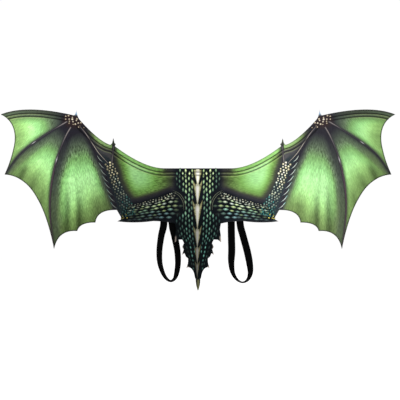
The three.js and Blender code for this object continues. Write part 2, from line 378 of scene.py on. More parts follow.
@dataclass(frozen=True)
class CutEdge:
    """The cut edge of the cloth, from the top centre round the right half to the tail tip."""

    neck_height: float = 60.0
    gap_steps: int = 12
    trailing_steps: int = 10
    coarse_step: float = 8.0
    inset_step: float = 2.0
    join_skip: int = 3
    cuts: tuple[Cut, ...] = (
        Cut("neck_corner", 92, 60),
        Cut("thumb_inside", 230.5, 121.5, (149, 60)),
        Cut("thumb_inner_barb", 227.7, 127.4),
        Cut("thumb_inner_base", 231.5, 130),
        Cut("thumb_tip", 234.7, 144.6),
        Cut("thumb_outer_base", 238, 130),
        Cut("thumb_outer_barb", 242.7, 125),
        Cut("knuckle_inside", 330, 197, (274.5, 134.5)),
        Cut("knuckle_spike_inner_base", 333.5, 204),
        Cut("knuckle_spike_tip", 337.3, 223.3, (336.5, 212)),
        Cut("knuckle_spike_outer_base", 343.7, 207, (338.5, 211)),
        Cut("wing_tip", 550, 210.5, (479, 239)),
        Cut("first_finger_tip", 538.7, 43.1, (477, 178)),
        Cut("second_finger_tip", 399.7, -164.6, (440, 38.4)),
        Cut("outer_cusp", 334.9, -114, (389.3, -109.8)),
        Cut("inner_cusp", 284.5, -90.4, (329.5, -89.8)),
        Cut("elbow_hollow", 225, -55.6, (280.3, -54.2)),
        Cut("elbow", 213.5, -75.6),
        Cut("elbow_spur_root", 214.2, -82),
        Cut("elbow_spur_tip", 224.1, -87),
        Cut("underarm_outer", 205, -89),
        Cut("underarm_middle", 125, -86.2, (165, -92)),
        Cut("trunk_side", 63.5, -93, (92, -86.5)),
        Cut("hip", 60.8, -109),
        Cut("hip_barb", 63, -124),
        Cut("upper_spike_tip", 64.2, -145.1),
        Cut("upper_spike_root", 54.8, -137.9),
        Cut("upper_notch", 43.7, -137.4),
        Cut("middle_waist", 38.9, -147.4),
        Cut("middle_barb", 43.7, -157.9),
        Cut("middle_hollow", 39.5, -164.6),
        Cut("middle_spike_tip", 44.2, -179.9),
        Cut("middle_spike_root", 37.5, -175.2),
        Cut("middle_notch", 33.6, -184.6),
        Cut("lower_waist", 27.5, -190),
        Cut("lower_spike_tip", 32.8, -215.8, (27, -206)),
        Cut("lower_spike_root", 26.1, -214.4),
        Cut("tail_sheath", 8.8, -244, (11.5, -217.5)),
        Cut("tail_spike_base", 6.6, -247),
        Cut("tail_tip", 0, -281, (7, -263)),
    )
    trailing: tuple[str, ...] = (
        "first_finger_tip", "second_finger_tip", "outer_cusp", "inner_cusp", "elbow_hollow",
    )

    def stretch(self, name: str, steps: int = 24) -> Array:
        """Give the points of one stretch of the edge.

        Args:
            name: The point that the stretch runs to.
            steps: Steps along a curved stretch.

        Returns:
            Its points, from the end of the stretch before.
        """
        row = [cut.to for cut in self.cuts].index(name)
        corners = [(0.0, self.neck_height), *((cut.x, cut.z) for cut in self.cuts)]
        start, end = np.array(corners[row : row + 2], float)
        bend = self.cuts[row].bend
        if bend is None:
            return np.stack([start, end])
        share = np.linspace(0.0, 1.0, steps + 1)[:, None]
        return (1 - share) ** 2 * start + 2 * share * (1 - share) * np.array(bend) + share**2 * end

    def tip(self, name: str) -> Array:
        """Give one named point of the edge."""
        return self.stretch(name)[-1]

    def half(self, step: float) -> Array:
        """Give the right half of the edge with points about a step apart."""
        pieces = [respaced(self.stretch(cut.to), step)[1:] for cut in self.cuts]
        return np.vstack([[[0.0, self.neck_height]], *pieces])

    def loop(self, step: float) -> Array:
        """Give the whole closed edge, clockwise from the top centre.

        Args:
            step: Wanted distance between points.

        Returns:
            The edge's points, none of them repeated.
        """
        right = self.half(step)
        left = right[-2:0:-1] * np.array([-1.0, 1.0])
        return np.vstack([right, left])

    def gap(self, points: Array, name: str) -> Array:
        """Give each point's distance from one stretch of the edge."""
        return beside(points, self.stretch(name, self.gap_steps)).distance

    def trailing_gap(self, points: Array) -> Array:
        """Give each point's distance from the free edge of the wing, scallop by scallop."""
        scallops = (self.stretch(name, self.trailing_steps) for name in self.trailing)
        return np.min([beside(points, scallop).distance for scallop in scallops], axis=0)

    def inset(self, names: Sequence[str], drop: float, first: float = 0.0, last: float = 1.0) -> Array:
        """Give a line that runs inside the edge.

        Args:
            names: Stretches that it follows, joined in order.
            drop: How far inside the edge it runs.
            first: Share of the first stretch where it starts.
            last: Share of the last stretch where it ends.

        Returns:
            The line's points, evenly spaced.
        """
        rows = []
        for i, name in enumerate(names):
            points = respaced(self.stretch(name), self.inset_step)
            inside = points - drop * left_of(directions(points))
            start = int(first * len(inside)) if i == 0 else self.join_skip
            stop = int(last * len(inside)) if i == len(names) - 1 else len(inside)
            rows.append(inside[start:stop])
        return respaced(np.vstack(rows), self.inset_step)


@dataclass(frozen=True)
class Bone:
    """A line that stays forward while the cloth between such lines hangs back."""

    name: str
    flat: float
    path: tuple[Corner, ...]


@dataclass(frozen=True)
class Fold:
    """A fold that grows from nothing at its start to its full height at the free edge."""

    start: Corner
    end: Corner
    height: float
    width: float

    def rise(self, points: Array) -> Array:
        """Give the fold's height at each point of the flat panel.

        Args:
            points: Columns x and z.

        Returns:
            The heights, or for a printed crease the depths of its shade.
        """
        run = np.subtract(self.end, self.start)
        offset = points - np.array(self.start)
        grown = ramp(offset @ run / (run @ run), 0.0, 1.0)
        across = (offset[:, 0] * run[1] - offset[:, 1] * run[0]) / np.linalg.norm(run)
        return self.height * grown * bell(across, self.width)


@dataclass(frozen=True)
class ClothForm:
    """How the cloth hangs: where its rear and printed faces lie at a point of the panel."""

    edge: CutEdge
    thickness: float = 1.6
    half_span: float = 550.0
    bow_start: float = 100.0
    bow_depth: float = 30.0
    sag_depth: float = 10.0
    sag_reach: float = 36.0
    casing_drop: float = 15.0
    casing_swell: float = 1.0
    swell_reach: float = 4.4
    swell_skip: int = 4
    stitch_offset: float = 4.4
    middle_run: tuple[str, ...] = ("neck_corner", "thumb_inside", "knuckle_inside")
    middle_end: float = 0.96
    leading_run: tuple[str, ...] = ("wing_tip",)
    leading_start: float = 0.08
    leading_end: float = 0.86
    stitch_start: float = 0.06
    stitch_end: float = 0.955
    stitch_end_drift: float = 0.0035
    bones: tuple[Bone, ...] = (
        Bone("trunk", 62, ((0, 60), (0, -120))),
        Bone("upper_arm", 20, ((40, -45), (110, -52), (200, -66))),
        Bone("forearm", 12, ((200, -66), (236, 56), (332, 190))),
        Bone("thumb", 5, ((236, 56), (235, 130))),
        Bone("first_finger", 3, ((340, 190), (470, 122), (538, 44))),
        Bone("second_finger", 3, ((338, 186), (398, 64), (409, -60), (400, -164))),
        Bone("neck_casing", 18, ((0, 45), (92, 45), (160, 62), (240, 108))),
        Bone("shoulder_casing", 18, ((240, 108), (286, 132), (340, 188))),
        Bone("leading_casing", 18, ((340, 192), (430, 213), (480, 214), (545, 206))),
        Bone("loop_seat", 30, ((93, 20), (93, -20))),
    )
    folds: tuple[Fold, ...] = (
        Fold((334, 70), (335, -114), 8, 15),
        Fold((300, 40), (284, -90), 7, 13),
        Fold((398, 110), (448, -20), 6, 16),
        Fold((420, 120), (490, 30), 6, 15),
        Fold((420, 172), (508, 112), 6, 15),
    )

    def casing_lines(self) -> tuple[Array, Array]:
        """Give the centre lines of the casings on the right half.

        Returns:
            The line from neck to knuckle, and the line on to the tip.
        """
        middle = self.edge.inset(self.middle_run, self.casing_drop, 0.0, self.middle_end)
        leading = self.edge.inset(self.leading_run, self.casing_drop, self.leading_start, self.leading_end)
        return middle, leading

    def stitch_lines(self) -> list[Array]:
        """Give the rows of stitches on the right half, above and below each casing.

        Returns:
            The rows: middle and leading above the casing, then the same below it.
        """
        rows = []
        for offset in (-self.stitch_offset, self.stitch_offset):
            drop = self.casing_drop + offset
            end = self.stitch_end - self.stitch_end_drift * offset
            rows.append(self.edge.inset(self.middle_run, drop, 0.0, self.middle_end))
            rows.append(self.edge.inset(self.leading_run, drop, self.stitch_start, end))
        return rows

    def back(self, points: Array) -> Array:
        """Give how far back the rear face lies at points of the panel.

        Args:
            points: Columns x and z, on either half.

        Returns:
            The rear face's y at each point.
        """
        half = on_right(points)
        bowed = np.maximum(0.0, half[:, 0] - self.bow_start) / (self.half_span - self.bow_start)
        sag = np.full(len(points), self.sag_depth)
        for bone in self.bones:
            clear = np.maximum(0.0, beside(half, np.array(bone.path, float)).distance - bone.flat)
            sag *= 1.0 - bell(clear, self.sag_reach)
        folds = sum(fold.rise(half) for fold in self.folds)
        return self.bow_depth * bowed**2 + sag - folds

    def front(self, points: Array) -> Array:
        """Give the y of the printed face at points of the panel, swollen over the casings.

        Args:
            points: Columns x and z, on either half.

        Returns:
            The printed face's y at each point.
        """
        half = on_right(points)
        swell = np.zeros(len(points))
        for line in self.casing_lines():
            gap = beside(half, line[:: self.swell_skip]).distance
            swell += self.casing_swell * bell(gap, self.swell_reach)
        return self.back(points) - self.thickness - swell


def new_object(name: str, points: Array, faces: Array, finish: Material) -> Thing:
    """Make a smooth-shaded mesh object.

    Args:
        name: The piece's name.
        points: Its points, in metres.
        faces: Rows of point numbers.
        finish: Its material.

    Returns:
        The object, linked into the scene.
    """
    mesh = bpy.data.meshes.new(name)
    mesh.from_pydata(points.tolist(), [], faces.tolist())
    mesh.shade_smooth()
    mesh.materials.append(finish)
    made = bpy.data.objects.new(name, mesh)
    bpy.context.scene.collection.objects.link(made)
    return made


class Stored(Enum):
    """Kinds of values kept on a mesh's points: the kind's name and the name of its field."""

    NUMBER = ("FLOAT", "value")
    VECTOR = ("FLOAT_VECTOR", "vector")
    COLOUR = ("FLOAT_COLOR", "color")


def store(made: Thing, name: str, kind: Stored, values: Array) -> None:
    """Store values on a mesh's points, where a finish can read them.

    Args:
        made: The object.
        name: The name that the finish reads them by.
        kind: What each value is.
        values: A value or a row of values for each point.
    """
    type_name, field_name = kind.value
    attribute = made.data.attributes.new(name, type_name, "POINT")
    attribute.data.foreach_set(field_name, values.astype(np.float32).ravel())


def set_colours(made: Thing, screen: Array) -> None:
    """Store screen colours on a mesh's points as linear light.

    Args:
        made: The object.
        screen: Screen colours, a row for each point.
    """
    values = np.ones((len(screen), 4))
    values[:, :3] = to_light(np.clip(screen, 0.0, 1.0))
    store(made, "print", Stored.COLOUR, values)


def seat(made: Thing, slot: str, *nodes: str) -> Thing:
    """Let a piece ride on the body and stand for some solids.

    Args:
        made: The piece.
        slot: Not used.
        nodes: The solids that it stands for, if any.

    Returns:
        The same piece.
    """
    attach(made, BODY)
    if nodes:
        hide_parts(*nodes)
    LOG.info("%s: %d faces", made.name, len(made.data.polygons))
    return made


@dataclass(frozen=True)
class Finish:
    """A procedural finish: its nodes are made by a subclass's dress method."""

    name: str
    roughness: float = 0.8
    specular: float = 0.3

    def material(self) -> Material:
        """Make the material and let the finish dress it.

        Returns:
            The material.
        """
        made = bpy.data.materials.new(self.name)
        made.use_nodes = True
        shader = made.node_tree.nodes["Principled BSDF"]
        shader.inputs["Roughness"].default_value = self.roughness
        shader.inputs["Specular IOR Level"].default_value = self.specular
        self.dress(made.node_tree, shader)
        return made

    def dress(self, tree: Tree, shader: Node) -> None:
        """Add the finish's own nodes; a plain finish has none."""

    @staticmethod
    def add(
        tree: Tree, kind: str, operation: str = "", **inputs: object
    ) -> Node:
        """Add a node, with links from sockets and values for the rest of its named inputs.

        Args:
            tree: The material's node tree.
            kind: The node's type, without its ShaderNode prefix.
            operation: What a maths node does.
            inputs: Input names with underscores for spaces, each a socket or a value.

        Returns:
            The new node.
        """
        node = tree.nodes.new("ShaderNode" + kind)
        if operation:
            node.operation = operation
        for name, value in inputs.items():
            socket = node.inputs[name.replace("_", " ")]
            if isinstance(value, bpy.types.NodeSocket):
                tree.links.new(value, socket)
            else:
                socket.default_value = value
        return node

    def attribute(self, tree: Tree, name: str) -> Node:
        """Add a node that reads values stored on the mesh.

        Args:
            tree: The material's node tree.
            name: The name that the values are stored under.

        Returns:
            The new node.
        """
        node = self.add(tree, "Attribute")
        node.attribute_name = name
        return node

    def tinted(
        self, tree: Tree, colour: object, tone: bpy.types.NodeSocket, low: float, high: float
    ) -> bpy.types.NodeSocket:
        """Lighten and darken a colour by a tone.

        Args:
            tree: The material's node tree.
            colour: A colour socket or value.
            tone: A socket that runs from 0 to 1.
            low: Factor at tone 0.
            high: Factor at tone 1.

        Returns:
            The toned colour's socket.
        """
        factor = self.add(tree, "MapRange", Value=tone, To_Min=low, To_Max=high)
        scaled = self.add(tree, "VectorMath", "SCALE", Scale=factor.outputs["Result"])
        if isinstance(colour, bpy.types.NodeSocket):
            tree.links.new(colour, scaled.inputs[0])
        else:
            scaled.inputs[0].default_value = colour
        return scaled.outputs["Vector"]

    def bump(
        self,
        tree: Tree,
        shader: Node,
        relief: bpy.types.NodeSocket,
        strength: float,
        depth: float,
    ) -> None:
        """Roughen the surface with a fine relief.

        Args:
            tree: The material's node tree.
            shader: The material's shader.
            relief: A socket with the relief's height.
            strength: How strongly it shows.
            depth: Its depth, in millimetres.
        """
        node = self.add(tree, "Bump", Height=relief, Strength=strength, Distance=depth * MM)
        tree.links.new(node.outputs["Normal"], shader.inputs["Normal"])


class MixSocket(IntEnum):
    """Numbers of a mix node's colour sockets, which share their names with its other sockets."""

    FACTOR = 0
    FIRST = 6
    SECOND = 7
    RESULT = 2


@dataclass(frozen=True)
class PrintedCloth(Finish):
    """Matte nonwoven cloth: the print with fine wrinkles in front, plain charcoal behind."""

    fibre_scale: float = 900.0
    streak_scale: float = 600.0
    mottle_scale: float = 80.0
    streak_range: Corner = (0.38, 0.62)
    mottle_tones: Corner = (0.9, 1.1)
    back_tones: Corner = (0.5, 1.6)
    back_colour: Triple = (0.018, 0.018, 0.02)
    relief: float = 0.35
    relief_depth: float = 0.6

    def dress(self, tree: Tree, shader: Node) -> None:
        """Streak the printed front, mix it with the plain back, and bump both with fibres.

        Args:
            tree: The material's node tree.
            shader: The material's shader.
        """
        ink, grain, side, strength = (
            self.attribute(tree, name) for name in ("print", "grain", "printed", "streaks")
        )
        place = self.add(tree, "TexCoord").outputs["Object"]
        wrinkles = grain.outputs["Vector"]
        streaks = self.add(
            tree, "TexNoise", Vector=wrinkles, Scale=self.streak_scale,
            Detail=2.5, Roughness=0.55, Distortion=0.6,
        )
        fibres = self.add(tree, "TexNoise", Vector=place, Scale=self.fibre_scale, Detail=2.0)
        faint, strong = self.streak_range
        sharp = self.add(
            tree, "MapRange", Value=streaks.outputs["Fac"], From_Min=faint, From_Max=strong,
            To_Min=-1.0, To_Max=1.0,
        )
        swing = self.add(tree, "Math", "MULTIPLY", Value=sharp.outputs["Result"])
        tree.links.new(strength.outputs["Fac"], swing.inputs[1])
        tone = self.add(tree, "MapRange", Value=swing.outputs[0], From_Min=-1.0)
        front = self.tinted(tree, ink.outputs["Color"], tone.outputs["Result"], 0.0, 2.0)
        mottle = self.add(tree, "TexNoise", Vector=wrinkles, Scale=self.mottle_scale, Detail=3.0)
        front = self.tinted(tree, front, mottle.outputs["Fac"], *self.mottle_tones)
        back = self.tinted(tree, self.back_colour, fibres.outputs["Fac"], *self.back_tones)
        both = self.add(tree, "Mix")
        both.data_type = "RGBA"
        tree.links.new(side.outputs["Fac"], both.inputs[MixSocket.FACTOR])
        tree.links.new(back, both.inputs[MixSocket.FIRST])
        tree.links.new(front, both.inputs[MixSocket.SECOND])
        tree.links.new(both.outputs[MixSocket.RESULT], shader.inputs["Base Color"])
        rough = self.add(tree, "Math", "ADD", Value=streaks.outputs["Fac"])
        tree.links.new(fibres.outputs["Fac"], rough.inputs[1])
        self.bump(tree, shader, rough.outputs[0], self.relief, self.relief_depth)


@dataclass(frozen=True)
class RaisedInk(Finish):
    """Low raised print in its own colours, a little glossier than the cloth."""

    speckle_scale: float = 1400.0
    speckle_tones: Corner = (0.75, 1.25)
    relief: float = 0.2
    relief_depth: float = 0.2

    def dress(self, tree: Tree, shader: Node) -> None:
        """Read the colours from the mesh, with a fine speckle.

        Args:
            tree: The material's node tree.
            shader: The material's shader.
        """
        ink = self.attribute(tree, "print")
        place = self.add(tree, "TexCoord").outputs["Object"]
        speckle = self.add(tree, "TexNoise", Vector=place, Scale=self.speckle_scale, Detail=2.0)
        colour = self.tinted(tree, ink.outputs["Color"], speckle.outputs["Fac"], *self.speckle_tones)
        tree.links.new(colour, shader.inputs["Base Color"])
        self.bump(tree, shader, speckle.outputs["Fac"], self.relief, self.relief_depth)


@dataclass(frozen=True)
class BlackWeave(Finish):
    """Black woven tape, elastic or thread: a fine rib across its width, with worn fibres."""

    colour: Triple = (0.0016, 0.0016, 0.0017)
    rib_scale: float = 420.0
    fibre_scale: float = 1600.0
    weave_tones: Corner = (0.6, 2.2)
    relief: float = 0.5
    relief_depth: float = 0.3

    def dress(self, tree: Tree, shader: Node) -> None:
        """Weave the ribs across the band and tone the colour with fibres.

        Args:
            tree: The material's node tree.
            shader: The material's shader.
        """
        place = self.add(tree, "TexCoord").outputs["Object"]
        ribs = self.add(tree, "TexWave", Vector=place, Scale=self.rib_scale, Distortion=1.2)
        ribs.bands_direction = "Z"
        fibres = self.add(tree, "TexNoise", Vector=place, Scale=self.fibre_scale, Detail=2.0)
        tone = self.add(tree, "Math", "MULTIPLY", Value=ribs.outputs["Fac"])
        tree.links.new(fibres.outputs["Fac"], tone.inputs[1])
        colour = self.tinted(tree, self.colour, tone.outputs[0], *self.weave_tones)
        tree.links.new(colour, shader.inputs["Base Color"])
        self.bump(tree, shader, tone.outputs[0], self.relief, self.relief_depth)


@dataclass(frozen=True)
class PaleFloor(Finish):
    """A plain white floor that glows a little, so that it stays pale."""

    shade: float = 0.9
    glow: float = 0.6

    def dress(self, tree: Tree, shader: Node) -> None:
        """Set the floor's own colour and glow.

        Args:
            tree: The material's node tree.
            shader: The material's shader.
        """
        shader.inputs["Base Color"].default_value = (self.shade, self.shade, self.shade, 1.0)
        shader.inputs["Emission Color"].default_value = (1.0, 1.0, 1.0, 1.0)
        shader.inputs["Emission Strength"].default_value = self.glow


@dataclass(frozen=True)
class Claw:
    """A claw, spike or barb of the cut edge and the inks of its body and its tip."""

    point: str
    reach: float
    ink: Ink
    tip: Ink


@dataclass(frozen=True)
class Web:
    """One web of the wing: the knuckle's shadow over it, and the olive of its free edge."""

    shadow_start: float
    shadow_end: float
    fade: float
    olive: float


@dataclass(frozen=True)
class WingPrint:
    """The printed picture of a dragon's wings, worked out from bones, edges and shadows."""

    edge: CutEdge
    form: ClothForm
    path_steps: int = 4

    # Bones and limbs of the right half
    knuckle: Corner = (345.0, 192.0)
    first_finger: tuple[Corner, ...] = (
        (361.5, 190.5), (399, 168.5), (436, 144.9), (469.6, 121.5), (500, 94.5), (523.6, 64), (538.7, 43.1),
    )
    second_finger: tuple[Corner, ...] = (
        (351.7, 175.2), (367, 148.5), (385.4, 104.6), (397.3, 64), (405.7, 20.3), (410.7, -23.4),
        (410.7, -64), (407.4, -104.3), (399.7, -164.6),
    )
    forearm: tuple[Corner, ...] = (
        (338, 189), (314.8, 161.8), (294.5, 131.5), (274.2, 101.2), (249, 73), (238.5, 50), (230, 20.3),
        (217, -11), (201, -46), (193.5, -77.3),
    )
    forearm_half_widths: tuple[float, ...] = (4, 4, 4, 4.5, 9, 12, 11.5, 13.5, 20, 21)
    thumb: tuple[Corner, ...] = ((233.6, 122.3), (236.5, 95), (240, 66))
    arm_centre: Profile = Profile((40, 78, 111, 167, 195, 206), (-46, -46, -52.8, -62.6, -65, -74))
    arm_half_width: Profile = Profile((40, 78, 111, 167, 195, 206), (42, 38, 31, 25, 24, 16))

    # Light and shadow on the webs of the wing: tip, middle and inner
    wing_side: Change = Change(-3.0, 3.0)
    wing_start: Change = Change(196.0, 206.0)
    webs: tuple[Web, ...] = (Web(24, 125, 50, 0.5), Web(36, 152, 74, 0.74), Web(24, 168, 76, 0.9))
    web_inks: tuple[Ink, ...] = (Ink.CHARCOAL, Ink.SMOKE, Ink.MOSS, Ink.LEAF, Ink.FRESH, Ink.PALE)
    tip_by_first: Change = Change(-5.0, 18.0)
    tip_by_top: Change = Change(-1.0, 49.0)
    first_shadow: Profile = Profile((0.45, 0.95), (-8.0, -3.0))
    first_span: Profile = Profile((0.5, 0.9), (63.0, 46.0))
    middle_by_second: Change = Change(-3.0, 14.0)
    second_shadow: Profile = Profile((0.2, 0.45, 0.7, 0.84, 1.0), (8.0, 1.0, 2.0, 8.0, 18.0))
    second_clear: Profile = Profile((0.2, 0.45, 0.7), (61.0, 47.0, 57.0))
    second_least: Profile = Profile((0.1, 0.3, 0.6, 1.0), (0.04, 0.15, 0.22, 0.18))
    forearm_shadow: Profile = Profile((0, 0.3, 0.45, 0.54, 0.7, 0.86), (2.0, 7.0, 19.0, 22.0, 22.0, 31.0))
    forearm_span: float = 35.0
    ripples: tuple[Triple, ...] = ((0.6, 46.0, 0.6), (0.4, 79.0, 2.0))
    ripple_reach: Change = Change(80.0, 190.0, 0.075)
    yellow_edge: Change = Change(0.3, 1.5, 0.65)
    olive_edge: Change = Change(0.0, 1.0)
    olive_light: Change = Change(0.04, 0.42)
    pale_light: Change = Change(0.5, 0.9)
    creases: tuple[Fold, ...] = (
        Fold((284, 10), (278, -62), 0.11, 7),
        Fold((306, 44), (304, -50), -0.1, 9),
        Fold((331, 20), (330, -66), 0.32, 8),
        Fold((345, 10), (345, -66), -0.1, 8),
        Fold((360, 34), (363, -62), 0.32, 8),
        Fold((384, -10), (386, -90), -0.08, 7),
        Fold((434, 66), (466, 8), 0.2, 9),
        Fold((424, 20), (440, -45), 0.2, 7),
        Fold((468, 92), (489, 46), 0.34, 10),
        Fold((470, 160), (500, 150), 0.1, 6),
    )

    # The upper web, between the trunk, the arm and the top edge
    upper_inks: tuple[Ink, ...] = (Ink.CHARCOAL, Ink.BRIAR, Ink.FERN, Ink.GRASS, Ink.SPRING, Ink.PALE)
    upper_level: float = 0.97
    trunk_light: Profile = Profile((60, 72, 90, 110, 135, 165), (0.0, 0.21, 0.36, 0.46, 0.65, 0.95))
    neck_shadow: Change = Change(34.0, 52.0, 0.6)
    neck_shadow_end: Change = Change(80.0, 116.0)
    arm_light: Profile = Profile((4, 12, 24, 48, 80), (0.0, 0.08, 0.45, 0.72, 1.0))
    forearm_light: Profile = Profile((0, 12, 28, 46), (0.04, 0.24, 0.64, 1.0))
    thumb_light: Change = Change(0.0, 46.0)
    upper_shine_at: Corner = (152.0, 36.0)
    upper_shine: SoftLine = SoftLine(34.0, 0.75)
    shoulder_fold: Fold = Fold((114, 23), (72, 27), 0.26, 6)
    thumb_x: float = 238.0
    shoulder_strip: Change = Change(4.0, 18.0, 0.7)
    shoulder_strip_start: Change = Change(36.0, 105.0)
    shoulder_ash: Change = Change(10.0, 20.0)
    shoulder_ash_start: Change = Change(20.0, 80.0)

    # The strip above the casings, and the painted shade and painted highlights along the lines of stitches
    band: Change = Change(8.0, 11.0, 0.95)
    band_below: Change = Change(17.0, 23.0, 0.3)
    band_start: Change = Change(30.0, 80.0)
    moss_line: SoftLine = SoftLine(2.8, 0.85, 7.2)
    moss_start: Change = Change(50.0, 190.0)
    neck_strip: Change = Change(9.0, 13.0)
    neck_strip_start: Change = Change(84.0, 128.0)
    neck_strip_end: Change = Change(212.0, 234.0)
    neck_strip_cover: float = 0.95
    spring_start: Change = Change(135.0, 180.0)
    stitch_shadow: SoftLine = SoftLine(1.7, 0.6)
    # Painted highlight under each line of stitches.
    stitch_highlight: SoftLine = SoftLine(1.2, 0.36, -3.2)
    stitch_highlight_start: Change = Change(50.0, 110.0)
    stitch_skip: int = 3

    # The dark ground of the bones, limbs, trunk and tail
    first_line: SoftLine = SoftLine(4.2, 0.6)
    second_line: SoftLine = SoftLine(4.2, 0.4)
    fleshed: Change = Change(0.32, 0.48)
    bare_line: SoftLine = SoftLine(5.0, 0.8)
    forearm_edge: Change = Change(-1.0, 6.0)
    arm_edge: Change = Change(-2.0, 10.0)
    arm_core: Change = Change(-16.0, -2.0, 0.6)
    arm_end: Change = Change(203.0, 212.0)
    trunk_edge: Change = Change(54.0, 74.0)
    tail_start: Change = Change(84.0, 92.0)
    tail_half_width: float = 75.0
    tail_dark: Change = Change(20.0, 100.0, 0.9)
    knuckle_size: Corner = (34.0, 24.0)
    knuckle_edge: Change = Change(0.6, 1.15, 0.95)

    # The outline, claws and tail tip
    outline: Change = Change(0.8, 4.0)
    outline_cover: float = 0.92
    outline_from: float = 222.0
    outline_below: float = 200.0
    outline_climb: float = 0.42
    faint_outline: float = 0.3
    faint_above: float = -90.0
    claws: tuple[Claw, ...] = (
        Claw("thumb_tip", 9, Ink.CHARCOAL, Ink.LILAC),
        Claw("knuckle_spike_tip", 20, Ink.ICE, Ink.LILAC),
        Claw("elbow_spur_tip", 13, Ink.CHARCOAL, Ink.TAUPE),
        Claw("middle_spike_tip", 8, Ink.HORN, Ink.HORN),
        Claw("lower_spike_tip", 9, Ink.HORN, Ink.HORN),
        Claw("middle_barb", 4, Ink.HORN, Ink.HORN),
    )
    claw_body: Change = Change(0.55, 1.0)
    claw_tip: Change = Change(0.1, 0.6)
    spike_side: Change = Change(2.0, 5.0)
    spike_start: Change = Change(0.0, 0.35)
    tail_tip: Change = Change(246.0, 251.0)
    tail_tip_cover: float = 0.6
    tail_tip_side: Change = Change(2.0, 5.5, 0.6)
    tail_tip_line: SoftLine = SoftLine(1.3, 0.45)

    # Painted light and shade on the two halves: most of the left painted darker, more so low down, and the
    # right a little lighter
    painted_light_stops: tuple[float, ...] = (40, 62, 90, 110, 150, 205, 240, 275, 330, 360, 400, 450, 500)
    right_painted_light_gains: tuple[float, ...] = (
        1.0, 1.0, 0.97, 0.97, 0.97, 1.0, 1.06, 1.02, 0.995, 0.955, 0.98, 0.98, 0.97,
    )
    right_painted_light_lifts: tuple[float, ...] = (
        0, 0.015, 0.01, 0.035, 0.045, 0.05, 0.05, 0.025, 0.025, 0.03, 0.02, 0, 0,
    )
    left_painted_light_gains: tuple[float, ...] = (
        0.965, 0.95, 0.885, 0.85, 0.83, 0.8, 0.75, 0.87, 0.945, 1.01, 1.0, 1.0, 1.0,
    )
    left_painted_light_lifts: tuple[float, ...] = (0, 0, -0.02, -0.01, 0, 0, 0, -0.01, -0.03, -0.03, -0.02, 0, 0.01)
    left_painted_light_tilt: float = 0.0007
    painted_light_tilt_height: float = 40.0

    # Fine streaks in the cloth
    streak_centre: Corner = (345.0, 312.0)
    streak_reach: float = 270.0
    streak_stretch: float = 0.15
    streak_shift: float = 50.0
    streak_base: float = 0.2
    streak_left: float = 0.06
    streak_outside: Change = Change(-4.0, 8.0)
    outside_faint: float = 0.05
    outside_loss: float = 0.3
    streak_green: Change = Change(0.01, 0.1)
    streak_least: float = 0.02
    streak_middling: SoftLine = SoftLine(0.17, 0.66, 0.42)
    streak_free: Change = Change(30.0, 120.0)
    streak_upper: Change = Change(-3.0, 3.0, 0.4)

    def colours(self, points: Array, edge_gap: Array) -> Array:
        """Paint the points of the printed face.

        Args:
            points: Columns x and z, on either half.
            edge_gap: Distance of each point from the cut edge.

        Returns:
            Screen colours, a row for each point.
        """
        half = on_right(points)
        first, second, arm = (
            beside(half, smooth_path(path, self.path_steps))
            for path in (self.first_finger, self.second_finger, self.forearm)
        )
        outer = self._wing_webs(half, first, second, arm)
        inner = self._upper_web(half, arm)
        on_wing = self.wing_side.growing(arm.left) * self.wing_start.growing(half[:, 0])
        paint = Paint(len(points), Ink.CHARCOAL)
        paint.rgb = inner.rgb + (outer.rgb - inner.rgb) * on_wing[:, None]
        self._top_edge(paint, half)
        paint.lay(Ink.CHARCOAL, self.first_line.cover(first.distance))
        paint.lay(Ink.CHARCOAL, self.second_line.cover(second.distance))
        self._limbs(paint, half, arm)
        self._tips(paint, half, edge_gap)
        # Painted light and shade: the two halves lit unevenly in their colours.
        return self.toned(points, paint.rgb)

    def toned(self, points: Array, screen: Array) -> Array:
        """Paint uneven light on the two halves: painted shade over most of the left half, darker low down,
        and a little painted light on the right.

        Args:
            points: Columns x and z, on either half.
            screen: Screen colours, a row for each point.

        Returns:
            The changed screen colours.
        """
        right = points[:, 0] > 0.0
        reach = np.abs(points[:, 0])
        gains, lifts = (
            np.where(right, np.interp(reach, self.painted_light_stops, one), np.interp(reach, self.painted_light_stops, other))
            for one, other in ((self.right_painted_light_gains, self.left_painted_light_gains), (self.right_painted_light_lifts, self.left_painted_light_lifts))
        )
        tilt = np.where(right, 1.0, 1.0 + self.left_painted_light_tilt * (points[:, 1] - self.painted_light_tilt_height))
        return np.clip(screen * (gains * tilt)[:, None] + lifts[:, None], 0.0, 1.0)

    def _wing_webs(self, half: Array, first: Beside, second: Beside, arm: Beside) -> Paint:
        """Shade the three webs of the wing, dark at the bones and olive at the free edge.

        Args:
            half: Points folded onto the right half.
            first: Where they lie beside the first finger.
            second: The same for the second finger.
            arm: The same for the forearm.

        Returns:
            The webs' colours.
        """
        web = np.select([first.left > 0, second.left > 0], [0, 1], 2)
        shadow_start, shadow_end, fade, olive = np.array([astuple(one) for one in self.webs]).T[:, web]
        reach = reach_from(half, self.knuckle)
        from_knuckle = slope(reach, shadow_start, shadow_end)
        light = soft_least(from_knuckle, self._off_bones(half, web, first, second, arm))
        turn = np.arctan2(half[:, 0] - self.knuckle[0], self.knuckle[1] - half[:, 1])
        rippled = sum(strength * np.sin(count * turn + start) for strength, count, start in self.ripples)
        light = light * (1.0 + rippled * self.ripple_reach.growing(reach))
        free = self.edge.trailing_gap(half) / fade
        paint = self._green(light, self.web_inks)
        paint.lay(Ink.YELLOW_GREEN, self.yellow_edge.fading(free) * self.pale_light.even(light))
        paint.lay(Ink.OLIVE, olive * self.olive_edge.fading(free) * self.olive_light.even(light))
        for crease in self.creases:
            paint.shade(1.0 - crease.rise(half))
        return paint

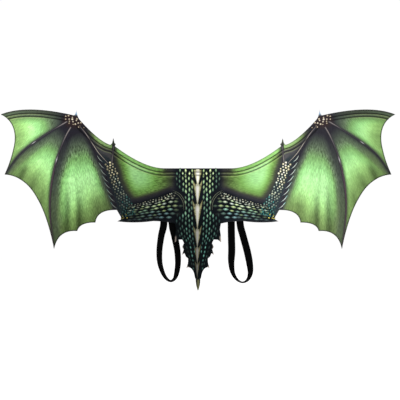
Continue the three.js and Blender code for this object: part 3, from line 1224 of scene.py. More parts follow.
    def _off_bones(self, half: Array, web: Array, first: Beside, second: Beside, arm: Beside) -> Array:
        """Give how clear of the bones' shadows each point of the wing is.

        Args:
            half: Points folded onto the right half.
            web: Number of the web that each lies in: 0 at the tip, 1 in the middle, 2 inside.
            first: Where they lie beside the first finger.
            second: The same for the second finger.
            arm: The same for the forearm.

        Returns:
            Shares from 0 in full shadow to 1 in full light.
        """
        below = self.first_shadow.at(first.along)
        by_first = slope(first.distance, below, below + self.first_span.at(first.along))
        shadow, clear = self.second_shadow.at(second.along), self.second_clear.at(second.along)
        by_second = slope(second.distance, shadow, clear)
        by_second = np.maximum(by_second, self.second_least.at(second.along))
        tip = self.tip_by_first.even(first.distance) * self.tip_by_top.even(self.edge.gap(half, "wing_tip"))
        middle = by_first * self.middle_by_second.even(second.distance)
        light = np.choose(web, [tip, middle, by_first * by_second])
        bare = self.forearm_shadow.at(arm.along)
        return light * slope(arm.distance, bare, bare + self.forearm_span)

    @staticmethod
    def _green(light: Array, inks: Sequence[Ink]) -> Paint:
        """Turn light from 0 to 1 into the greens of a web.

        Args:
            light: The light at each point.
            inks: The web's inks, from the darkest to the palest.

        Returns:
            The colours.
        """
        paint = Paint(len(light), inks[0])
        step = 1.0 / (len(inks) - 1)
        for i, ink in enumerate(inks[1:]):
            paint.lay(ink, slope(light, step * i, step * (i + 1)))
        return paint

    def _upper_web(self, half: Array, arm: Beside) -> Paint:
        """Shade the web between the trunk, the arm and the top edge.

        Args:
            half: Points folded onto the right half.
            arm: Where they lie beside the forearm.

        Returns:
            The web's colours.
        """
        x, z = half.T
        above_arm = z - self.arm_centre.at(x) - self.arm_half_width.at(x)
        neck_dark = self.neck_shadow.growing(z) * self.neck_shadow_end.fading(x)
        thumb = beside(half, smooth_path(self.thumb, self.path_steps))
        light = soft_least(self.trunk_light.at(x) * (1.0 - neck_dark), self.arm_light.at(above_arm))
        light = soft_least(light, self.forearm_light.at(arm.distance - self._forearm_half_width(arm)))
        light = soft_least(light, self.thumb_light.even(thumb.distance))
        strip = self.edge.gap(half, "knuckle_inside")
        past_thumb = x > self.thumb_x
        from_knuckle = reach_from(half, self.knuckle)
        strip_light = self.shoulder_strip.fading(strip) * self.shoulder_strip_start.growing(from_knuckle)
        ash = self.shoulder_ash.growing(strip) * self.shoulder_ash_start.growing(from_knuckle)
        paint = self._green(np.where(past_thumb, strip_light, self.upper_level * light), self.upper_inks)
        shine = self.upper_shine.cover(reach_from(half, self.upper_shine_at)) * self.pale_light.even(light)
        paint.lay(Ink.FRESH, shine * ~past_thumb)
        paint.shade(1.0 - self.shoulder_fold.rise(half))
        paint.lay(Ink.TEA, strip_light * past_thumb)
        paint.lay(Ink.ASH, ash * past_thumb)
        return paint

    def _forearm_half_width(self, arm: Beside) -> Array:
        """Half-width of the forearm beside each point."""
        return np.interp(arm.along, shares_along(self.forearm_half_widths), self.forearm_half_widths)

    def _top_edge(self, paint: Paint, half: Array) -> None:
        """Lighten the strip above the casings, and draw the lines of stitches as painted shade, each with a
        painted highlight under it.

        Args:
            paint: The print so far.
            half: Its points, folded onto the right half.
        """
        x = half[:, 0]
        from_knuckle = reach_from(half, self.knuckle)
        top = self.edge.gap(half, "wing_tip")
        for band in (self.band, self.band_below):
            paint.lay(Ink.BAND, band.fading(top) * self.band_start.growing(from_knuckle))
        paint.lay(Ink.MOSS, self.moss_line.cover(top) * self.moss_start.growing(from_knuckle))
        neck = np.minimum(self.edge.gap(half, "thumb_inside"), self.edge.gap(half, "neck_corner"))
        green = self.neck_strip.fading(neck) * self.neck_strip_start.growing(x)
        green = green * self.neck_strip_end.fading(x)
        paint.lay(Ink.STRIP, self.neck_strip_cover * green)
        paint.lay(Ink.SPRING, green * self.spring_start.growing(x))
        # Painted shade along the sunken lines of stitches.
        paint.shade(self.stitched(half))
        for line in self.form.stitch_lines():
            near = beside(half, line[:: self.stitch_skip])
            # Painted highlight under each line of stitches.
            light = self.stitch_highlight.cover(near.left) * self.stitch_highlight_start.growing(from_knuckle)
            paint.lay(Ink.LIME, light)

    def stitched(self, half: Array) -> Array:
        """Give how much light is left along the sunken lines of stitches."""
        rows = [beside(half, line[:: self.stitch_skip]) for line in self.form.stitch_lines()]
        return np.prod([1.0 - self.stitch_shadow.cover(row.left) for row in rows], axis=0)

    def _limbs(self, paint: Paint, half: Array, arm: Beside) -> None:
        """Fill the trunk, tail, arms and knuckle with the dark ground of the scales.

        Args:
            paint: The print so far.
            half: Its points, folded onto the right half.
            arm: Where they lie beside the forearm.
        """
        x, z = half.T
        fleshed = self.fleshed.growing(arm.along)
        paint.lay(Ink.CHARCOAL, self.bare_line.cover(arm.distance) * (1.0 - fleshed))
        paint.lay(Ink.DUSK, self.forearm_edge.fading(arm.distance - self._forearm_half_width(arm)) * fleshed)
        reach = np.abs(z - self.arm_centre.at(x)) - self.arm_half_width.at(x)
        paint.lay(Ink.NIGHT, self.arm_edge.fading(reach) * self.arm_end.fading(x))
        paint.lay(Ink.PITCH, self.arm_core.fading(reach) * self.arm_end.fading(x))
        tail = self.tail_start.growing(-z) * (x < self.tail_half_width)
        trunk = np.maximum(self.trunk_edge.fading(x), tail)
        paint.lay(Ink.NIGHT, trunk)
        paint.lay(Ink.PITCH, trunk * self.tail_dark.growing(-z))
        across = (half - np.array(self.knuckle)) / np.array(self.knuckle_size)
        paint.lay(Ink.MAROON, self.knuckle_edge.fading(np.linalg.norm(across, axis=1)))

    def _tips(self, paint: Paint, half: Array, edge_gap: Array) -> None:
        """Draw the dark outline of the cut edge and the pale claws.

        Args:
            paint: The print so far.
            half: Its points, folded onto the right half.
            edge_gap: Distance of each point from the cut edge.
        """
        x, z = half.T
        trailing = (x > self.outline_from) & (z < self.outline_below) & (z < self.outline_climb * x)
        cover = np.where(trailing, self.outline_cover, self.faint_outline * (z > self.faint_above))
        paint.lay(Ink.OUTLINE, cover * self.outline.fading(edge_gap))
        for claw in self.claws:
            share = reach_from(half, self.edge.tip(claw.point)) / claw.reach
            paint.lay(claw.ink, self.claw_body.fading(share))
            paint.lay(claw.tip, self.claw_tip.fading(share))
        spike = beside(half, self.edge.stretch("upper_spike_tip"))
        paint.lay(Ink.HORN, self.spike_side.fading(spike.distance) * self.spike_start.growing(spike.along))
        tail_tip = self.tail_tip.growing(-z)
        paint.lay(Ink.FEATHER, self.tail_tip_cover * tail_tip)
        paint.lay(Ink.PITCH, tail_tip * self.tail_tip_side.growing(x))
        paint.lay(Ink.PALE_FEATHER, tail_tip * self.tail_tip_line.cover(x))

    def grain(self, points: Array) -> Array:
        """Give coordinates for fine streaks: down and outwards on the wing, level on the upper web.

        Args:
            points: Columns x and z, on either half.

        Returns:
            Coordinates in metres, apart for the two halves.
        """
        half = on_right(points)
        offset = half - np.array(self.streak_centre)
        reach = np.linalg.norm(offset, axis=1)
        turn = np.arctan2(offset[:, 0], -offset[:, 1])
        on_wing = beside(half, np.array(self.forearm, float)).left > 0
        across = np.where(on_wing, turn * self.streak_reach, half[:, 1])
        along = np.where(on_wing, reach, half[:, 0]) * self.streak_stretch
        return np.stack([across, along, np.sign(points[:, 0]) * self.streak_shift], axis=1) * MM

    def streaked(self, points: Array, screen: Array) -> Array:
        """Give how strongly the streaks show: most where a web is half dark, little on the limbs.

        Args:
            points: Columns x and z, on either half.
            screen: Their screen colours.

        Returns:
            The strength at each point.
        """
        half = on_right(points)
        red, green, blue = screen.T
        outside = self.streak_outside.growing(beside(half, np.array(self.second_finger, float)).left)
        on_web = self.streak_green.even(green - np.maximum(red, blue))
        base = self.streak_base - self.outside_faint * outside + self.streak_left * (points[:, 0] < 0.0)
        web = on_web * (self.streak_least + self.streak_middling.cover(green))
        web = web * (1.0 - self.outside_loss * outside)
        web = web * self.streak_free.growing(self.edge.trailing_gap(half))
        upper = self.streak_upper.fading(beside(half, np.array(self.forearm, float)).left)
        return (base + web) * (1.0 - upper)


@dataclass
class WingPanel:
    """The cut cloth panel: a finely meshed printed front, a plain back and the cut rim."""

    form: ClothForm
    picture: WingPrint
    front_step: float = 1.95
    back_step: float = 7.0
    rim_step: float = 0.7
    rim_clear: float = 0.62
    join_gap: float = 1e-6
    fill_inside: int = 1
    flat_size: Corner = (1.10, 0.505)
    flat_area: float = 0.24

    def build(self, finish: Finish) -> Thing:
        """Mesh, print and dress the panel.

        Args:
            finish: The cloth's finish.

        Returns:
            The panel, standing for its solid.
        """
        loop = self.form.edge.loop(self.front_step)
        front, front_faces = self._fill(loop, self.front_step)
        back, back_faces = self._fill(loop, self.back_step)
        ring = np.arange(len(loop))
        ahead = np.roll(ring, -1)
        start = len(front)
        rim = np.vstack([
            np.stack([ring, ahead, ahead + start], axis=1),
            np.stack([ring, ahead + start, ring + start], axis=1),
        ])
        faces = np.vstack([front_faces, back_faces[:, ::-1] + start, rim])
        depth = np.concatenate([self.form.front(front), self.form.back(back)])
        points = in_space(np.vstack([front, back]), depth) * MM
        made = new_object("wing_panel_cloth", points, faces, finish.material())
        self._print(made, front, len(back), loop)
        seat(made, "printed_cloth", "wing_panel")
        return made

    def _fill(self, loop: Array, step: float) -> tuple[Array, Array]:
        """Triangulate the inside of the edge.

        Args:
            loop: The closed edge.
            step: Spacing of the points inside it.

        Returns:
            The points, the edge's first, and the triangles, turned to face the viewer.
        """
        low, high = loop.min(axis=0), loop.max(axis=0)
        rows = np.arange(low[1], high[1], step * math.sqrt(0.75))
        columns = np.arange(low[0], high[0], step)
        x, z = np.meshgrid(columns, rows)
        x[1::2] += step / 2
        grid = np.stack([x.ravel(), z.ravel()], axis=1)
        grid = grid[enclosed(grid, self.form.edge.loop(self.form.edge.coarse_step))]
        grid = grid[self._gap(grid, loop) > self.rim_clear * step]
        points = np.vstack([loop, grid])
        ring = list(range(len(loop)))
        _, _, faces, origins, _, _ = delaunay_2d_cdt(
            points.tolist(), [], [ring], self.fill_inside, self.join_gap
        )
        order = np.array([origin[0] for origin in origins])
        triangles = order[np.array(faces)]
        a, b, c = (points[triangles[:, i]] for i in range(3))
        turn = (b - a)[:, 0] * (c - a)[:, 1] - (b - a)[:, 1] * (c - a)[:, 0]
        triangles[turn < 0] = triangles[turn < 0][:, ::-1]
        return points, triangles

    @staticmethod
    def _gap(points: Array, loop: Array) -> Array:
        """Give each point's distance from the nearest point of the edge.

        Args:
            points: Columns x and z.
            loop: Points of the edge.

        Returns:
            The distances.
        """
        tree = KDTree(len(loop))
        for i, (x, z) in enumerate(loop):
            tree.insert((x, z, 0.0), i)
        tree.balance()
        return np.array([tree.find((x, z, 0.0))[2] for x, z in points])

    def _print(self, made: Thing, front: Array, back_count: int, loop: Array) -> None:
        """Store the print, its streaks and the printed side on the mesh.

        Args:
            made: The panel.
            front: Its printed points.
            back_count: How many points of the plain back follow them.
            loop: The closed edge.
        """
        rim = respaced(np.vstack([loop, loop[:1]]), self.rim_step)
        colours = self.picture.colours(front, self._gap(front, rim))
        set_colours(made, np.vstack([colours, np.tile(Ink.CHARCOAL.rgb, (back_count, 1))]))
        plain = np.zeros(back_count)
        streaks = np.concatenate([self.picture.streaked(front, colours), plain])
        store(made, "streaks", Stored.NUMBER, streaks)
        grain = np.vstack([self.picture.grain(front), np.zeros((back_count, 3))])
        store(made, "grain", Stored.VECTOR, grain)
        store(made, "printed", Stored.NUMBER, np.concatenate([np.ones(len(front)), plain]))


class SpotShape(Enum):
    """Outlines of a raised spot: how its edge bulges, from a round bead to a pointed leaf."""

    BEAD = 2.0
    SCALE = 1.4
    LEAF = 1.0


@dataclass(frozen=True)
class Spot:
    """One raised spot of print: its place, direction, size and colours."""

    at: Array
    ahead: Array
    length: float
    width: float
    height: float
    body: Array
    light: Array
    rim: Ink = Ink.NIGHT


@dataclass
class RaisedPrint:
    """Closed low shapes laid on the printed face and joined into one mesh."""

    name: str
    form: ClothForm
    picture: WingPrint
    # Share of painted light by which the right half is painted brighter than the left.
    right_side_light: float = 0.0
    sunk: float = 0.25
    floor_drop: float = 0.1
    sides: int = 12
    highlight_rise: float = 0.1
    edge_share: float = 0.55
    edge_step: float = 2.0
    ridge_offsets: tuple[float, ...] = (-1.0, -0.6, -0.2, 0.2, 0.6, 1.0)
    flat: list[Array] = field(default_factory=list)
    faces: list[Array] = field(default_factory=list)
    colours: list[Array] = field(default_factory=list)
    edge_points: Array = field(init=False)
    edge_loop: Array = field(init=False)

    def __post_init__(self) -> None:
        """Note the cut edge, which the spots keep clear of."""
        self.edge_points = self.form.edge.half(self.edge_step)
        self.edge_loop = self.form.edge.loop(self.form.edge.coarse_step)

    def add(self, flat: Array, faces: Array, colours: Array, both: bool = True) -> None:
        """Add a closed shape, and its mirror image on the left half.

        Args:
            flat: Columns x, z and lift above the printed face.
            faces: Triangles, turned to face the viewer.
            colours: Screen colours.
            both: Whether to mirror it.
        """
        for sign in (1.0, -1.0) if both else (1.0,):
            start = sum(len(part) for part in self.flat)
            self.flat.append(flat * np.array([sign, 1.0, 1.0]))
            self.faces.append((faces if sign > 0 else faces[:, ::-1]) + start)
            self.colours.append(colours)

    def spot(self, spot: Spot, shape: SpotShape, both: bool = True) -> None:
        """Add a domed spot whose edge sinks into the cloth, unless it would overhang the cut edge.

        Args:
            spot: The spot.
            shape: Its outline.
            both: Whether to mirror it.
        """
        clear = reach_from(self.edge_points, spot.at).min() > self.edge_share * spot.width
        if not clear or not enclosed(spot.at[None], self.edge_loop)[0]:
            return
        turn = np.arange(self.sides) * 2 * math.pi / self.sides
        power = 2.0 / shape.value
        along = np.copysign(np.abs(np.cos(turn)) ** power, np.cos(turn))
        across = np.copysign(np.abs(np.sin(turn)) ** power, np.sin(turn))
        rim = spot.rim.rgb
        rings = (
            (1.0, -self.sunk, rim),
            (0.86, 0.45 * spot.height, 0.7 * spot.body + 0.3 * rim),
            (0.5, 0.9 * spot.height, 0.45 * spot.body + 0.55 * spot.light),
        )
        rows, tints = [], []
        for size, lift, tint in rings:
            rows.append(np.stack([size * along, size * across, np.full(self.sides, lift)], axis=1))
            tints.append(np.tile(tint, (self.sides, 1)))
        rows.append(np.array([[0.0, 0.0, spot.height], [0.0, 0.0, -self.sunk - self.floor_drop]]))
        tints.append(np.stack([spot.light, rim]))
        local = np.vstack(rows)
        place = spot.at + np.outer(local[:, 0] * spot.length / 2, spot.ahead)
        place = place + np.outer(local[:, 1] * spot.width / 2, left_of(spot.ahead))
        place[2 * self.sides : -1, 1] += self.highlight_rise * spot.width
        self.add(np.column_stack([place, local[:, 2]]), self._dome(len(rings)), np.vstack(tints), both)

    def _dome(self, rings: int) -> Array:
        """Give the triangles of a dome of rings, with an apex and a closed underside.

        Args:
            rings: How many rings it has.

        Returns:
            The triangles: the apex is the point after the rings, and the underside's the next.
        """
        ring = np.arange(self.sides)
        ahead = np.roll(ring, -1)
        rows = []
        for i in range(rings - 1):
            low, high = i * self.sides, (i + 1) * self.sides
            rows.append(np.stack([ring + low, ahead + low, ahead + high], axis=1))
            rows.append(np.stack([ring + low, ahead + high, ring + high], axis=1))
        top = (rings - 1) * self.sides
        apex = rings * self.sides
        rows.append(np.stack([ring + top, ahead + top, np.full(self.sides, apex)], axis=1))
        rows.append(np.stack([ahead, ring, np.full(self.sides, apex + 1)], axis=1))
        return np.vstack(rows)

    def strip(self, path: Array, half_width: Array, height: float, tint: Tint, both: bool = True) -> None:
        """Add a long low ridge along a path.

        Args:
            path: Its centre line.
            half_width: Its half-width at each point of the path.
            height: Its height.
            tint: Gives screen colours for shares along the path at one offset from -1 to 1.
            both: Whether to mirror it.
        """
        left = left_of(directions(path))
        share = shares_along(path)
        ends = (share == 0.0) | (share == 1.0)
        rows, tints = [], []
        for offset in self.ridge_offsets:
            place = path + left * (offset * half_width)[:, None]
            lift = -self.sunk if abs(offset) == 1.0 else height * (1 - offset**2)
            rows.append(np.column_stack([place, np.where(ends, -self.sunk, lift)]))
            tints.append(tint(share, offset))
        rows.append(np.column_stack([path, np.full(len(path), -self.sunk - self.floor_drop)]))
        tints.append(tint(share, 1.0))
        count, around = len(path), len(rows)
        index = np.arange(count * around).reshape(around, count)
        faces = []
        for i in range(around):
            one, two = index[i], index[(i + 1) % around]
            faces.append(np.stack([one[:-1], one[1:], two[1:]], axis=1))
            faces.append(np.stack([one[:-1], two[1:], two[:-1]], axis=1))
        for end, flip in ((0, 1), (count - 1, -1)):
            fan = [[index[0, end], index[i, end], index[i + 1, end]][::flip] for i in range(1, around - 1)]
            faces.append(np.array(fan))
        self.add(np.vstack(rows), np.vstack(faces), np.vstack(tints), both)

    def build(self, finish: Material) -> Thing:
        """Join the shapes into one piece that lies on the printed face.

        Args:
            finish: The raised print's finish.

        Returns:
            The piece.
        """
        flat = np.vstack(self.flat)
        points = in_space(flat, self.form.front(flat[:, :2]) - flat[:, 2]) * MM
        made = new_object(self.name, points, np.vstack(self.faces), finish)
        # Painted light and shade: the right half painted brighter by the group's share, painted shade along
        # the lines of stitches, and the uneven light of the two halves.
        side = 1.0 + self.right_side_light * np.sign(flat[:, :1])
        side = side * self.picture.stitched(on_right(flat))[:, None]
        set_colours(made, self.picture.toned(flat, side * np.vstack(self.colours)))
        return seat(made, "printed_cloth")


@dataclass
class DragonBody:
    """The scales, beads, bones and spine that are printed in relief on the panel."""

    form: ClothForm
    picture: WingPrint
    finish: Material
    chance: np.random.Generator = field(default_factory=partial(np.random.default_rng, SEED))
    raised: RaisedPrint = field(init=False)

    # Trunk: shares run from 0 on the trunk to 1 in the tail
    tail_share: Profile = Profile((-170, -95), (1.0, 0.0))
    closing: Profile = Profile((-240, -222, -190, -160, -137, -100), (0.1, 0.22, 0.46, 0.62, 0.8, 1.0))
    column_tones: Profile = Profile((16, 26, 38, 50, 60), (0.84, 1.12, 0.98, 0.68, 0.52))
    height_tones: Profile = Profile((-220, -120, -60, 20, 40), (0.74, 0.82, 0.84, 1.12, 1.34))
    trunk_green: Profile = Profile((-160, -60, 45), (0.0, 0.5, 1.0))
    side_teal: Profile = Profile((38, 52), (0.0, 0.45))

    # Upper arm: rows from its upper edge down, and each grade's pitch, length and width
    rows: tuple[float, ...] = (0.92, 0.76, 0.57, 0.33, 0.05, -0.23, -0.5, -0.77)
    grades: tuple[Triple, ...] = ((7.4, 5.4, 4.0), (8.6, 7.4, 4.4), (12.0, 14.2, 5.0), (15.5, 19.6, 6.2))
    row_starts: Profile = Profile((-0.84, -0.5, 0.1, 0.92), (80.0, 58.0, 50.0, 64.0))
    row_tones: Profile = Profile((0, 2, 3, 5, 7), (0.84, 1.0, 1.1, 1.02, 0.78))
    reach_tones: Profile = Profile((56, 68, 84, 114, 145, 192), (0.6, 0.95, 1.32, 0.98, 0.98, 0.72))
    trunk_shadow: Profile = Profile((68, 84), (0.05, 0.0))

    # Forearm, elbow and knuckle
    side_tones: Profile = Profile((-0.9, 0.1, 0.8), (1.0, 1.02, 0.72))
    down_tones: Profile = Profile((0.15, 0.5, 1.0), (1.28, 0.87, 0.5))
    bead_sizes: Profile = Profile((0, 0.45, 1), (6.6, 5.4, 6.2))
    fringe: tuple[Corner, ...] = ((280, 96), (269, 52), (254.5, 6), (243, -33))
    elbow: Corner = (204.0, -74.0)
    gold_beads: int = 7
    knuckle_shift: Corner = (-1.0, 1.5)
    knuckle_lean: float = 30.0
    knuckle_beads: int = 26

    # Spine: each plate's fan top, end, fan spread, half-width and tone
    plates: tuple[tuple[float, ...], ...] = (
        (78.0, 9.0, 21.0, 9.6, 1.06), (30.0, -44.0, 14.0, 9.0, 0.92), (-24.0, -108.0, 15.5, 9.0, 0.86),
        (-96.0, -162.0, 13.0, 7.0, 0.7), (-148.0, -206.0, 10.5, 5.4, 0.6), (-194.0, -246.0, 7.0, 3.6, 0.5),
    )
    spine_lean: Profile = Profile((-215.0, 30.0, 60.0), (-2.0, -1.2, 0.0))
    plate_shape: Profile = Profile((0, 0.18, 0.55, 1.0), (0.6, 1.0, 0.62, 0.1))
    feathers: int = 9
    neck_edge: float = 57.0

    # Bones and shoulder arcs
    finger_shape: Profile = Profile((0, 0.15, 0.7, 1.0), (3.6, 2.8, 2.2, 0.7))
    bare_shape: Profile = Profile((0, 0.5, 1), (2.6, 1.9, 1.0))
    thumb_ends: Corner = (3.4, 2.0)
    arc: tuple[Corner, ...] = ((72, -5), (54.5, -14), (43, -30), (39.5, -46), (40, -58))
    arc_shifts: Corner = (0.0, 5.0)

    def build(self) -> list[Thing]:
        """Build every raised group; each has its share of painted light, by which the right half is painted
        brighter than the left.

        Returns:
            The pieces, one for each group.
        """
        groups = (
            ("trunk_scales", self._trunk, 0.0), ("arm_scales", self._upper_arm, 0.06),
            ("forearm_beads", self._forearm, 0.13), ("knuckle_beads", self._knuckle, 0.07),
            ("spine_plates", self._spine, 0.0), ("wing_bones", self._bones, 0.0),
        )
        pieces = []
        for name, lay, right_side_light in groups:
            self.raised = RaisedPrint(name, self.form, self.picture, right_side_light)
            lay()
            pieces.append(self.raised.build(self.finish))
        return pieces

    def _sway(self, most: float) -> float:
        """Draw a small difference either way."""
        return self.chance.uniform(-most, most)

    def _near(self, place: Sequence[float], most: float) -> Array:
        """Draw a place near a given one."""
        return np.asarray(place) + self.chance.uniform(-most, most, 2)

    def _trunk(self) -> None:
        """Lay upright scales in columns beside the spine, smaller and darker down the tail."""
        for i, column in enumerate(np.arange(16.5, 62.0, 8.4)):
            z = 53.0 - (i % 2) * 7.0
            while z > -234.0:
                tail = float(self.tail_share.at(z))
                closing = self.closing.at(z)
                at = self._near((column * closing, z), 1.5)
                shoulder = column > 37.0 + 8.0 * (z > -12.0) and -66.0 < z < 8.0
                crowded = i % 2 and closing < 0.68
                if at[0] > 8.5 + 4.0 * (1.0 - tail) and not shoulder and not crowded:
                    self._trunk_scale(at, tail, self.column_tones.at(column))
                z -= 14.6 - 3.4 * tail

    def _trunk_scale(self, at: Array, tail: float, tone: float) -> None:
        """Lay one scale of the trunk.

        Args:
            at: Its place.
            tail: How far it belongs to the tail.
            tone: Brightness of its column.
        """
        x, z = at
        green = self.trunk_green.at(z) + self._sway(0.1)
        green -= self.side_teal.at(x) * (1.0 - tail)
        tone *= self.chance.uniform(0.7 - 0.25 * tail, 1.2 + 0.35 * tail) * self.height_tones.at(z)
        body = 0.85 * tone * mixed((Ink.DEEP_TEAL, Ink.TEAL, Ink.SAGE), green)
        light = tone * mixed((Ink.SEA, Ink.MINT, Ink.LIME), green)
        size = (1.0 - 0.22 * tail) * self.chance.uniform(0.85, 1.12)
        lean = np.array([-0.05 - 0.009 * x * tail + self._sway(0.12), -1.0])
        ahead = lean / np.linalg.norm(lean)
        rim = Ink.PITCH if tail > 0.3 else Ink.NIGHT
        self.raised.spot(Spot(at, ahead, 14.4 * size, 6.2 * size, 0.7, body, light, rim), SpotShape.SCALE)

    def _upper_arm(self) -> None:
        """Lay scales in rows along the upper arm, with small beads on its upper edge."""
        for k, row in enumerate(self.rows):
            pitch, length, width = self.grades[min(k, len(self.grades) - 1)]
            shape = SpotShape.BEAD if k < 2 else SpotShape.SCALE
            x = np.arange(self.row_starts.at(row) + (k % 2) * pitch / 2, 194.0, pitch)
            tall = self.picture.arm_half_width.at(x)
            line = np.stack([x, self.picture.arm_centre.at(x) + row * tall], axis=1)
            for place, ahead, half_width in zip(line, directions(line), tall):
                place = place + self.chance.uniform(-1.0, 1.0, 2) * np.array([0.2 * pitch, 1.0])
                share = k / (len(self.rows) - 1) + self._sway(0.24)
                tone = self.chance.uniform(0.66, 1.2) * self.row_tones.at(k)
                tone *= self.reach_tones.at(place[0]) - k * self.trunk_shadow.at(place[0])
                body = 0.42 * tone * mixed((Ink.SAGE, Ink.TEAL, Ink.SLATE), share)
                light = 1.06 * tone * mixed((Ink.CREAM, Ink.MIST, Ink.LIME, Ink.MINT, Ink.RAIN), share)
                size = self.chance.uniform(0.88, 1.1)
                wide = width * size * half_width / 27.0
                self.raised.spot(Spot(place, -ahead, length * size, wide, 0.6, body, light), shape)

    def _forearm(self) -> None:
        """Lay round beads down the forearm, the strokes that fringe it, and gold beads at the elbow."""
        path = respaced(smooth_path(self.picture.forearm[4:]), 6.6)[:-1]
        corner_widths = self.picture.forearm_half_widths[4:]
        widths = np.interp(shares_along(path), shares_along(corner_widths), corner_widths)
        for i, (centre, along, width) in enumerate(zip(path, directions(path), widths)):
            share = i / (len(path) - 1)
            count = max(2, int(round(2 * width / 7.6)))
            for offset in np.linspace(-0.9, 0.62, count) + (0.5 - i % 2) * 0.76 / count:
                place = self._near(centre + left_of(along) * offset * width, 0.8)
                tone = self.chance.uniform(0.72, 1.2) * self.side_tones.at(offset) * self.down_tones.at(share)
                teal = np.clip(1.5 * share - 0.38 + self._sway(0.3), 0.0, 1.0)
                body = tone * mixed((Ink.STRAW, Ink.SAGE, Ink.LAGOON), teal)
                light = tone * mixed((Ink.CREAM, Ink.MIST, Ink.MIST, Ink.AQUA), teal)
                size = self.bead_sizes.at(share) * self.chance.uniform(0.8, 1.15)
                bead = Spot(place, along, size * (1.0 + 0.25 * share), size, 0.7, body, light)
                self.raised.spot(bead, SpotShape.BEAD)
        self._fringe()
        level = np.array([1.0, 0.0])
        for turn in range(self.gold_beads):
            angle = turn * GOLDEN_ANGLE
            reach = 10.0 * math.sqrt((turn + 0.5) / self.gold_beads)
            spread = reach * np.array([math.cos(angle), math.sin(angle)])
            place = self._near(self.elbow + spread, 2.2)
            tone = self.chance.uniform(0.7, 1.15)
            body, light = tone * Ink.GOLD.rgb, tone * Ink.LEMON.rgb
            self.raised.spot(Spot(place, level, 4.4 * tone, 3.6 * tone, 0.7, body, light), SpotShape.BEAD)

    def _fringe(self) -> None:
        """Lay pale strokes along the outer side of the forearm."""
        starts = respaced(smooth_path(self.fringe), 19.6)
        for share, start in zip(shares_along(starts), starts):
            end = start + np.array([-18.0 - 3.0 * share, -20.0])
            bend = (start + end) / 2 + np.array([1.4, -1.2])
            path = smooth_path((start, bend, end), 6)
            width = 1.3 * np.sin(np.linspace(0.2, math.pi - 0.12, len(path))) ** 0.7
            self.raised.strip(path, width, 0.9, partial(self._stroke_tint, down=share))

    @staticmethod
    def _stroke_tint(share: Array, offset: float, down: float) -> Array:
        """Colour one offset of a stroke: pale with a slate end, and bluer down the forearm.

        Args:
            share: Shares along the stroke.
            offset: The offset across it.
            down: How far down the forearm it lies.

        Returns:
            Screen colours.
        """
        paint = Paint(len(share), Ink.CHARCOAL)
        crown = bell(offset - 0.15, 0.75)
        paint.lay(Ink.MIST, 0.9 * crown)
        paint.lay(Ink.AQUA, 0.7 * down * crown * ramp(share, 0.5, 0.0))
        paint.lay(Ink.SLATE, 0.8 * ramp(share, 0.6, 1.0))
        return paint.rgb

    def _knuckle(self) -> None:
        """Cluster beads over the knuckle where the bones meet, below the casing."""
        centre = np.add(self.picture.knuckle, self.knuckle_shift)
        lean = math.radians(self.knuckle_lean)
        ahead = np.array([math.cos(lean), math.sin(lean)])
        for i in range(self.knuckle_beads):
            angle = i * GOLDEN_ANGLE
            reach = math.sqrt((i + 0.5) / self.knuckle_beads)
            along, across = 36.0 * reach * math.cos(angle), 15.0 * reach * math.sin(angle)
            place = self._near(centre + ahead * along + left_of(ahead) * across, 0.5)
            if place[1] > 196.0 + 0.36 * (place[0] - 325.0):
                continue
            size = self.chance.uniform(4.6, 7.4) * (1.1 - 0.24 * reach)
            tone = self.chance.uniform(0.78, 1.12) * (1.14 - 0.3 * reach)
            body, light = tone * mixed((Ink.TAUPE, Ink.RUST), reach), tone * Ink.CREAM.rgb
            bead = Spot(place, ahead, size, size * 0.92, 0.8, body, light, Ink.MAROON)
            self.raised.spot(bead, SpotShape.BEAD)

    def _spine(self) -> None:
        """Lay the pale plates down the spine, each on a fan of feathers, leaning a little to the left."""
        share = np.linspace(0.0, 1.0, 18)
        for top, end, spread, width, tone in self.plates:
            tall = top - end
            lean = float(self.spine_lean.at(top - 0.5 * tall))
            for side in (1.0, -1.0):
                for k in range(self.feathers):
                    tip = np.array([side * spread * (1.0 - 0.09 * k), top - 0.05 * k * tall])
                    root = np.array([side * width * (0.5 - 0.04 * k), top - (0.42 + 0.055 * k) * tall])
                    self._feather(tip, root, lean, 0.46 * min(spread, 14.0), tone)
            start = min(58.5, top - 0.16 * tall)
            path = np.stack([np.full(len(share), lean), start - share * (start - end)], axis=1)
            tint = partial(self._plate_tint, tone=tone)
            self.raised.strip(path, width * self.plate_shape.at(share), 1.2, tint, both=False)

    def _feather(self, tip: Array, root: Array, lean: float, width: float, tone: float) -> None:
        """Lay one feather, with its tip kept below the neck edge.

        Args:
            tip: Its upper end.
            root: Its lower end.
            lean: How far its plate leans sideways.
            width: Its width.
            tone: Brightness of its plate.
        """
        if tip[1] > self.neck_edge:
            tip = tip + (root - tip) * (tip[1] - self.neck_edge) / (tip[1] - root[1])
        length = float(np.linalg.norm(root - tip))
        ahead = (root - tip) / length
        shine = self.chance.uniform(0.75, 1.15) * tone
        body, light = shine * Ink.FEATHER.rgb, shine * Ink.PALE_FEATHER.rgb
        middle = (root + tip) / 2 + np.array([lean, 0.0])
        feather = Spot(middle, ahead, length, width, 0.5, body, light, Ink.DARK_FEATHER)
        self.raised.spot(feather, SpotShape.LEAF, both=False)

    @staticmethod
    def _plate_tint(share: Array, offset: float, tone: float) -> Array:
        """Colour one offset of a plate: pale along the middle, olive at its sides and both ends.

        Args:
            share: Shares along the plate.
            offset: The offset across it.
            tone: Its brightness.

        Returns:
            Screen colours.
        """
        paint = Paint(len(share), Ink.BONE_WHITE)
        paint.lay(Ink.PALE_FEATHER, 0.6 * ramp(abs(offset), 0.15, 0.75))
        paint.lay(Ink.DARK_FEATHER, 0.8 if abs(offset) == 1.0 else 0.0)
        paint.lay(Ink.FEATHER, 0.45 * (1.0 - ramp(share, 0.0, 0.22)) + 0.62 * ramp(share, 0.6, 1.0))
        return paint.rgb * tone

